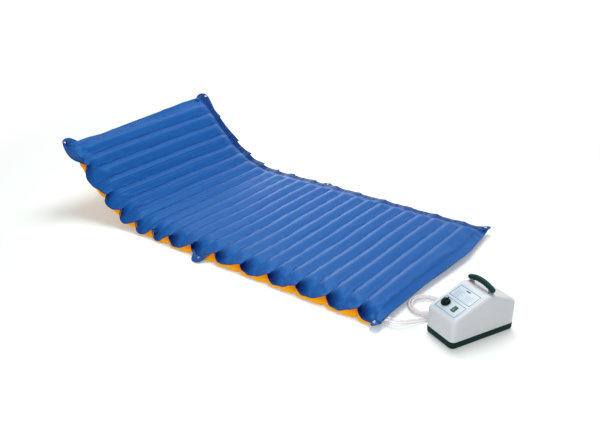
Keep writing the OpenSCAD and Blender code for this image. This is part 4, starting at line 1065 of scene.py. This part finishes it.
HALF_L, HALF_W, CASE_R, EDGE_R, WALL_T, TRAY_WALL = 137.5, 70.0, 18.0, 13.0, 2.3, 2.0
FRONT_H, RIDGE_H, BACK_H, RIDGE_U, TRAY_Z, TRAY_TOP = 105.0, 167.0, 116.0, 16.5, 3.0, 29.0
SLOPE = math.atan2(RIDGE_H - FRONT_H, RIDGE_U + HALF_L)
# how soft the bend of the roof is at its ridge
RIDGE_SOFT = 5.0


def slope_point(s, v, h):
    """A point on the sloping front: s up the slope, v across it, h off its face, in the row frame, mm."""
    u = -HALF_L + s * math.cos(SLOPE) - h * math.sin(SLOPE)
    return pump_point(u, v, FRONT_H + s * math.sin(SLOPE) + h * math.cos(SLOPE))


def frame_at(origin, *ends):
    """Takes a flat shape to an origin, its X, Y and Z towards the points 1 mm from there."""
    o = Vector(origin)
    m = Matrix([list(Vector(p) - o) for p in ends]).transposed().to_4x4()
    m.translation = o * MM
    return m


def on_slope(s, v, h):
    """Takes a flat shape's X to the right across the slope, its Y up the slope and its Z off the face."""
    return frame_at(*[slope_point(*p) for p in ((s, v, h), (s, v - 1, h), (s + 1, v, h), (s, v, h + 1))])


def roof(u):
    """Height of the casing along its length, with a rounded ridge."""
    front = FRONT_H + (u + HALF_L) * math.tan(SLOPE)
    back = RIDGE_H + (u - RIDGE_U) * (BACK_H - RIDGE_H) / (HALF_L - RIDGE_U)
    return -RIDGE_SOFT * np.logaddexp(-front / RIDGE_SOFT, -back / RIDGE_SOFT)


def round_rect(a, b, r, arc, on_long, on_short):
    """Points round a rectangle of half sides a and b: arc on each corner, the others between the corners."""
    corners = []
    for ca, cb, start in ((1, -1, -90), (1, 1, 0), (-1, 1, 90), (-1, -1, 180)):
        w = np.radians(start + np.linspace(0, 90, arc))
        corners.append(np.stack([ca * (a - r) + r * np.cos(w), cb * (b - r) + r * np.sin(w)], axis=1))
    out = []
    for i, n in enumerate((on_short, on_long, on_short, on_long)):
        run = np.linspace(corners[i][-1], corners[(i + 1) % 4][0], n + 2)[1:-1]
        out += [corners[i], run]
    return np.concatenate(out)


def lofted(name, rings, material, capped=True):
    """A skin over rings of equal count, closed at its ends where asked."""
    rings = np.asarray(rings, float)
    rows, cols = rings.shape[:2]
    faces = strip_faces(rows, cols)
    if capped:
        faces += [tuple(range(cols))[::-1], tuple((rows - 1) * cols + j for j in range(cols))]
    return outward(mesh_piece(name, rings.reshape(-1, 3), faces, [material]))


def casing_outline(inset):
    return round_rect(HALF_L - inset, HALF_W - inset, max(CASE_R - inset, 3.0), 9, 61, 15)


def casing_skin(t):
    """Rings of the casing's skin t mm under its outer face, from the rim up to the roof's middle line."""
    rim, foot = casing_outline(t), TRAY_TOP + 1.4
    rings = [[pump_point(u, v, z) for u, v in casing_outline(t + i)] for i, z in
             ((0.8 - 0.6 * t / WALL_T, TRAY_TOP + 0.2), (0.2, TRAY_TOP + 0.5), (0.0, foot))]
    top = roof(rim[:, 0]) - EDGE_R
    for f in (0.06, 0.2, 0.4, 0.6, 0.8, 0.94, 1.0):
        rings.append([pump_point(u, v, foot + (z - foot) * f) for (u, v), z in zip(rim, top)])
    r = EDGE_R - t
    for q in np.radians(np.linspace(0, 90, 12)[1:]):
        line = casing_outline(t + r * (1 - math.cos(q)))
        high = roof(line[:, 0]) - t
        rings.append([pump_point(u, v, z - r * (1 - math.sin(q))) for (u, v), z in zip(line, high)])
    for f in (0.9, 0.72, 0.5, 0.25, 0.0):
        rings.append([pump_point(u, v * f, z) for (u, v), z in zip(line, high)])
    return rings


def tray_skin(t):
    """Rings of the tray's skin t mm inside its outer face, from the middle of its floor up to its rim."""
    flat, high = casing_outline(6.0 + t), TRAY_TOP - TRAY_Z - 0.1
    rings = [[pump_point(u, v * f, TRAY_Z + t) for u, v in flat] for f in (0.0, 0.4, 0.75, 1.0)]
    for inset, z in ((4.0, 0.35), (2.2, 1.4), (0.8, 3.2), (0.0, 5.6), (-0.5, 9.0), (-0.7, 17.0),
                     (-0.7, high - 2.3), (-0.5, high - 1.1), (0.1, high - 0.3), (0.9, high)):
        rings.append([pump_point(u, v, TRAY_Z + z + t * (1 - z / high)) for u, v in casing_outline(inset + t)])
    return rings


def housing():
    cover = lofted("pump_casing", casing_skin(0.0)[::-1] + casing_skin(WALL_T), abs_pale, capped=False)
    place(cover, "root", "casing", "pump_cover")
    tray = lofted("pump_base_tray", tray_skin(0.0) + tray_skin(TRAY_WALL)[::-1], abs_green, capped=False)
    place(tray, "root", "dark_green", "pump_tray")


GRIP_U, GRIP_TOP, GRIP_BEND, GRIP_R, GRIP_END, RIBS_END, POST_V = 32.5, 187.0, 135.9, 9.5, 62.0, 34.0, 46.0
GRIP_SIDES, POST_SIDES, KNOB_SIDES = 36, 40, 144
# radius and height of the turned posts, waisted, wider where they meet the grip
POST = [(0.2, -6), (10.8, -6), (10.8, 1.2), (10.2, 2.0), (9.0, 2.5), (8.4, 3.2), (8.2, 4.6), (8.2, 6.6),
        (8.4, 9.2), (8.8, 11.6), (9.2, 13.2), (8.9, 14.6), (0.2, 15.0)]


def grip_ring(v):
    """A ring of the grip at v along it. The underside is a little flat, with a shallow dip for each finger."""
    end = max(0.0, (abs(v) - (GRIP_END - GRIP_R)) / GRIP_R)
    r = max(0.05, GRIP_R * math.sqrt(max(0.0, 1 - end ** 2.4)))
    lean = math.asin(v / GRIP_BEND)
    middle = GRIP_TOP - (GRIP_BEND - math.sqrt(GRIP_BEND ** 2 - v * v))
    ring = []
    for w in turn(GRIP_SIDES):
        c, s = math.cos(w), math.sin(w)
        k = r * (1 - (0.10 + 0.03 * math.cos(v / 3.2)) * max(0.0, -s) ** 2)
        ring.append(pump_point(GRIP_U + k * c, v + k * s * math.sin(lean), middle + k * s * math.cos(lean)))
    return ring


def handle():
    rings = [grip_ring(GRIP_END * math.sin(math.radians(q))) for q in np.linspace(-90, 90, 61)]
    place(lofted("carry_grip", rings, grip_pvc), "root", "dark_green", "handle_grip")

    low = GRIP_TOP - GRIP_BEND
    upright = frame_at(*[pump_point(GRIP_U + u, v, low + z) for u, v, z in
                         ((0, 0, 0), (0, 1, 0), (0, 0, 1), (1, 0, 0))])
    half = math.asin(RIBS_END / GRIP_BEND)
    ribs = grown("carry_grip_ribs", ribs_on_arc(), {
        "Count": 18, "Bend": GRIP_BEND * MM, "From": math.pi / 2 - half, "Sweep": 2 * half,
        "Bar": (GRIP_R - 0.15) * MM, "Rib": 0.0007, "Finish": grip_pvc}, upright)
    place(ribs, "root", "dark_green")

    verts, faces = [], []
    foot = float(roof(np.array(GRIP_U))) - 0.4
    for sign in (-1, 1):
        first = len(verts)
        last = first + (len(POST) - 1) * POST_SIDES
        verts += [pump_point(GRIP_U + r * math.cos(w), sign * POST_V + r * math.sin(w), foot + h)
                  for r, h in POST for w in turn(POST_SIDES)]
        faces += strip_faces(len(POST), POST_SIDES, first)
        faces += [tuple(end + j for j in range(POST_SIDES)) for end in (first, last)]
    posts = outward(mesh_piece("carry_grip_posts", verts, faces, [cast_zinc]))
    place(posts, "root", "steel", "handle_posts")


def around(s, v, ds, dv):
    return s - ds, s + ds, v - dv, v + dv


# from and to up the slope, then across it
PANEL, HEADING = (12.0, 146.0, -54.0, 54.0), (126.5, 131.5, -6, 12)
BOXES = {"frame_upper": (83.0, 138.0, -48.5, 50.5), "frame_lower": (18.0, 73.0, -48.5, 50.5)}
KNOB_S, KNOB_V, SWITCH_S, SWITCH_V = 49.0, 28.0, 46.0, -19.0
# the print stands from just under the face of the film to just over it
FILM_H, INK_LOW, INK_TOP = 1.0, 0.9, 1.14


def slope_rings(box, r, *steps):
    """Rings round a box of the slope with corners of radius r: how far in each lies, and its height."""
    s0, s1, v0, v1 = box
    rings = []
    for inset, h in steps:
        p = round_rect((s1 - s0) / 2 - inset, (v1 - v0) / 2 - inset, max(r - inset, 0.3), 7, 1, 1)
        rings.append([slope_point((s0 + s1) / 2 + a, (v0 + v1) / 2 + b, h) for a, b in p])
    return rings


def panel():
    plate = lofted("control_film", slope_rings(PANEL, 6, (0, -0.6), (0, 0.6), (0.2, 0.9), (0.6, FILM_H)), film)
    place(plate, "root", "panel", "control_panel")
    for name, box in BOXES.items():
        line = slope_rings(box, 2.5, (0, INK_LOW), (0, INK_TOP), (1.7, INK_TOP), (1.7, INK_LOW), (0, INK_LOW))
        place(lofted(name, line, ink_slate, capped=False), "root", "panel")
    ticks = grown("dial_ticks", marks_on_arc(), {
        "Count": 11, "Radius": 0.0194, "From": math.radians(-45), "Sweep": math.radians(270), "Length": 0.0022,
        "Width": 0.0008, "Height": 0.0004, "Finish": ink_slate}, on_slope(KNOB_S, KNOB_V, FILM_H))
    place(ticks, "root", "panel")
    column = bars_in_column()
    for name, v, length, seed in (("legend_left", 26.0, 0.034, 4), ("legend_right", -22.0, 0.038, 9)):
        bars = grown(name, column, {"Count": 5, "Pitch": 0.0066, "Length": length, "Width": 0.0013, "Height": 0.0003,
                                    "Seed": seed, "Finish": ink_grey}, on_slope(90.0, v, FILM_H))
        place(bars, "root", "panel")
    heading = lofted("legend_heading", slope_rings(HEADING, 1, (0, INK_LOW), (0, INK_TOP)), ink_slate)
    place(heading, "root", "panel")


# radius and height of the knob's rings, and how deep their flutes are
KNOB = [(15.4, 0.3, 0), (16.8, 0.3, 0), (17.0, 0.8, 0), (17.0, 3.0, 0), (16.4, 3.7, 0), (15.2, 4.0, 0.4),
        (14.9, 4.6, 1), (14.5, 7.0, 1), (14.0, 9.0, 1), (13.4, 9.8, 0.6), (12.4, 10.2, 0.2), (8.0, 10.4, 0),
        (0.05, 10.5, 0)]
KNOB_BASE, FLUTES, FLUTE_DEPTH = 1.2, 24, 0.55


def knob():
    """Fluted knob with a finger bar across its top and a painted line on the bar."""
    rings = []
    for r, h, flute in KNOB:
        ring = []
        for w in turn(KNOB_SIDES):
            k = r - FLUTE_DEPTH * flute * (0.5 + 0.5 * math.cos(FLUTES * w))
            ring.append(slope_point(KNOB_S + k * math.cos(w), KNOB_V + k * math.sin(w), KNOB_BASE + h))
        rings.append(ring)
    place(lofted("dial_knob", rings, abs_knob), "knob", "black_plastic", "pressure_knob")

    bar = around(KNOB_S + 1.1, KNOB_V, 15.1, 3.2)
    finger = slope_rings(bar, 2.5, (0, 11.2), (0, 13.6), (0.3, 14.5), (1.0, 15.0), (1.8, 15.1))
    place(lofted("dial_knob_bar", finger, abs_knob), "knob", "black_plastic")
    line = around(KNOB_S + 12.05, KNOB_V, 2.55, 0.7)
    paint = slope_rings(line, 0.5, (0, 14.9), (0, 15.25))
    place(lofted("dial_knob_line", paint, ink_white), "knob", "panel")


# the rocker's side, hollowed on top; its rings across, with how much smaller they are
ROCKER = [(-4.0, -4.2), (-7.6, -1.0), (-8.0, 0.4), (-8.05, 3.2), (-7.7, 3.9), (-7.0, 4.0), (-4.6, 3.5),
          (-2.2, 3.15), (0.0, 3.05), (2.2, 3.15), (4.6, 3.5), (7.0, 4.0), (7.7, 3.9), (8.05, 3.2), (8.0, 0.4),
          (7.6, -1.0), (4.0, -4.2)]
ROCKER_ROWS = ((-5.2, 0.94), (-5.0, 0.985), (-4.6, 1.0), (4.6, 1.0), (5.0, 0.985), (5.2, 0.94))
# it is tipped towards its lower end, about a line this high
ROCKER_TIP, ROCKER_H = math.radians(8.0), 0.5


def power_switch():
    hole, rim = around(SWITCH_S, SWITCH_V, 8.9, 5.7), around(SWITCH_S, SWITCH_V, 12.6, 8.8)
    rings = slope_rings(hole, 1.2, (0, -9)) + slope_rings(hole, 1.6, (-1.2, -9), (-1.2, 0.8))
    rings += slope_rings(rim, 2.4, (0, 0.8), (0, 1.7), (0.3, 2.1), (0.9, 2.3)) + slope_rings(hole, 1.4, (-0.7, 2.3))
    rings += slope_rings(hole, 1.2, (-0.2, 2.0), (0, 1.4), (0, -9))
    place(lofted("switch_frame", rings, bezel_nylon, capped=False), "root", "black_plastic", "switch_bezel")

    c, s = math.cos(ROCKER_TIP), math.sin(ROCKER_TIP)
    rings = [[slope_point(SWITCH_S + k * (a * c - b * s), SWITCH_V + v, ROCKER_H + k * (a * s + b * c))
              for a, b in ROCKER] for v, k in ROCKER_ROWS]
    place(lofted("switch_rocker_cap", rings, rocker_pc), "rocker", "rocker", "switch_rocker")


housing()
handle()
panel()
knob()
power_switch()
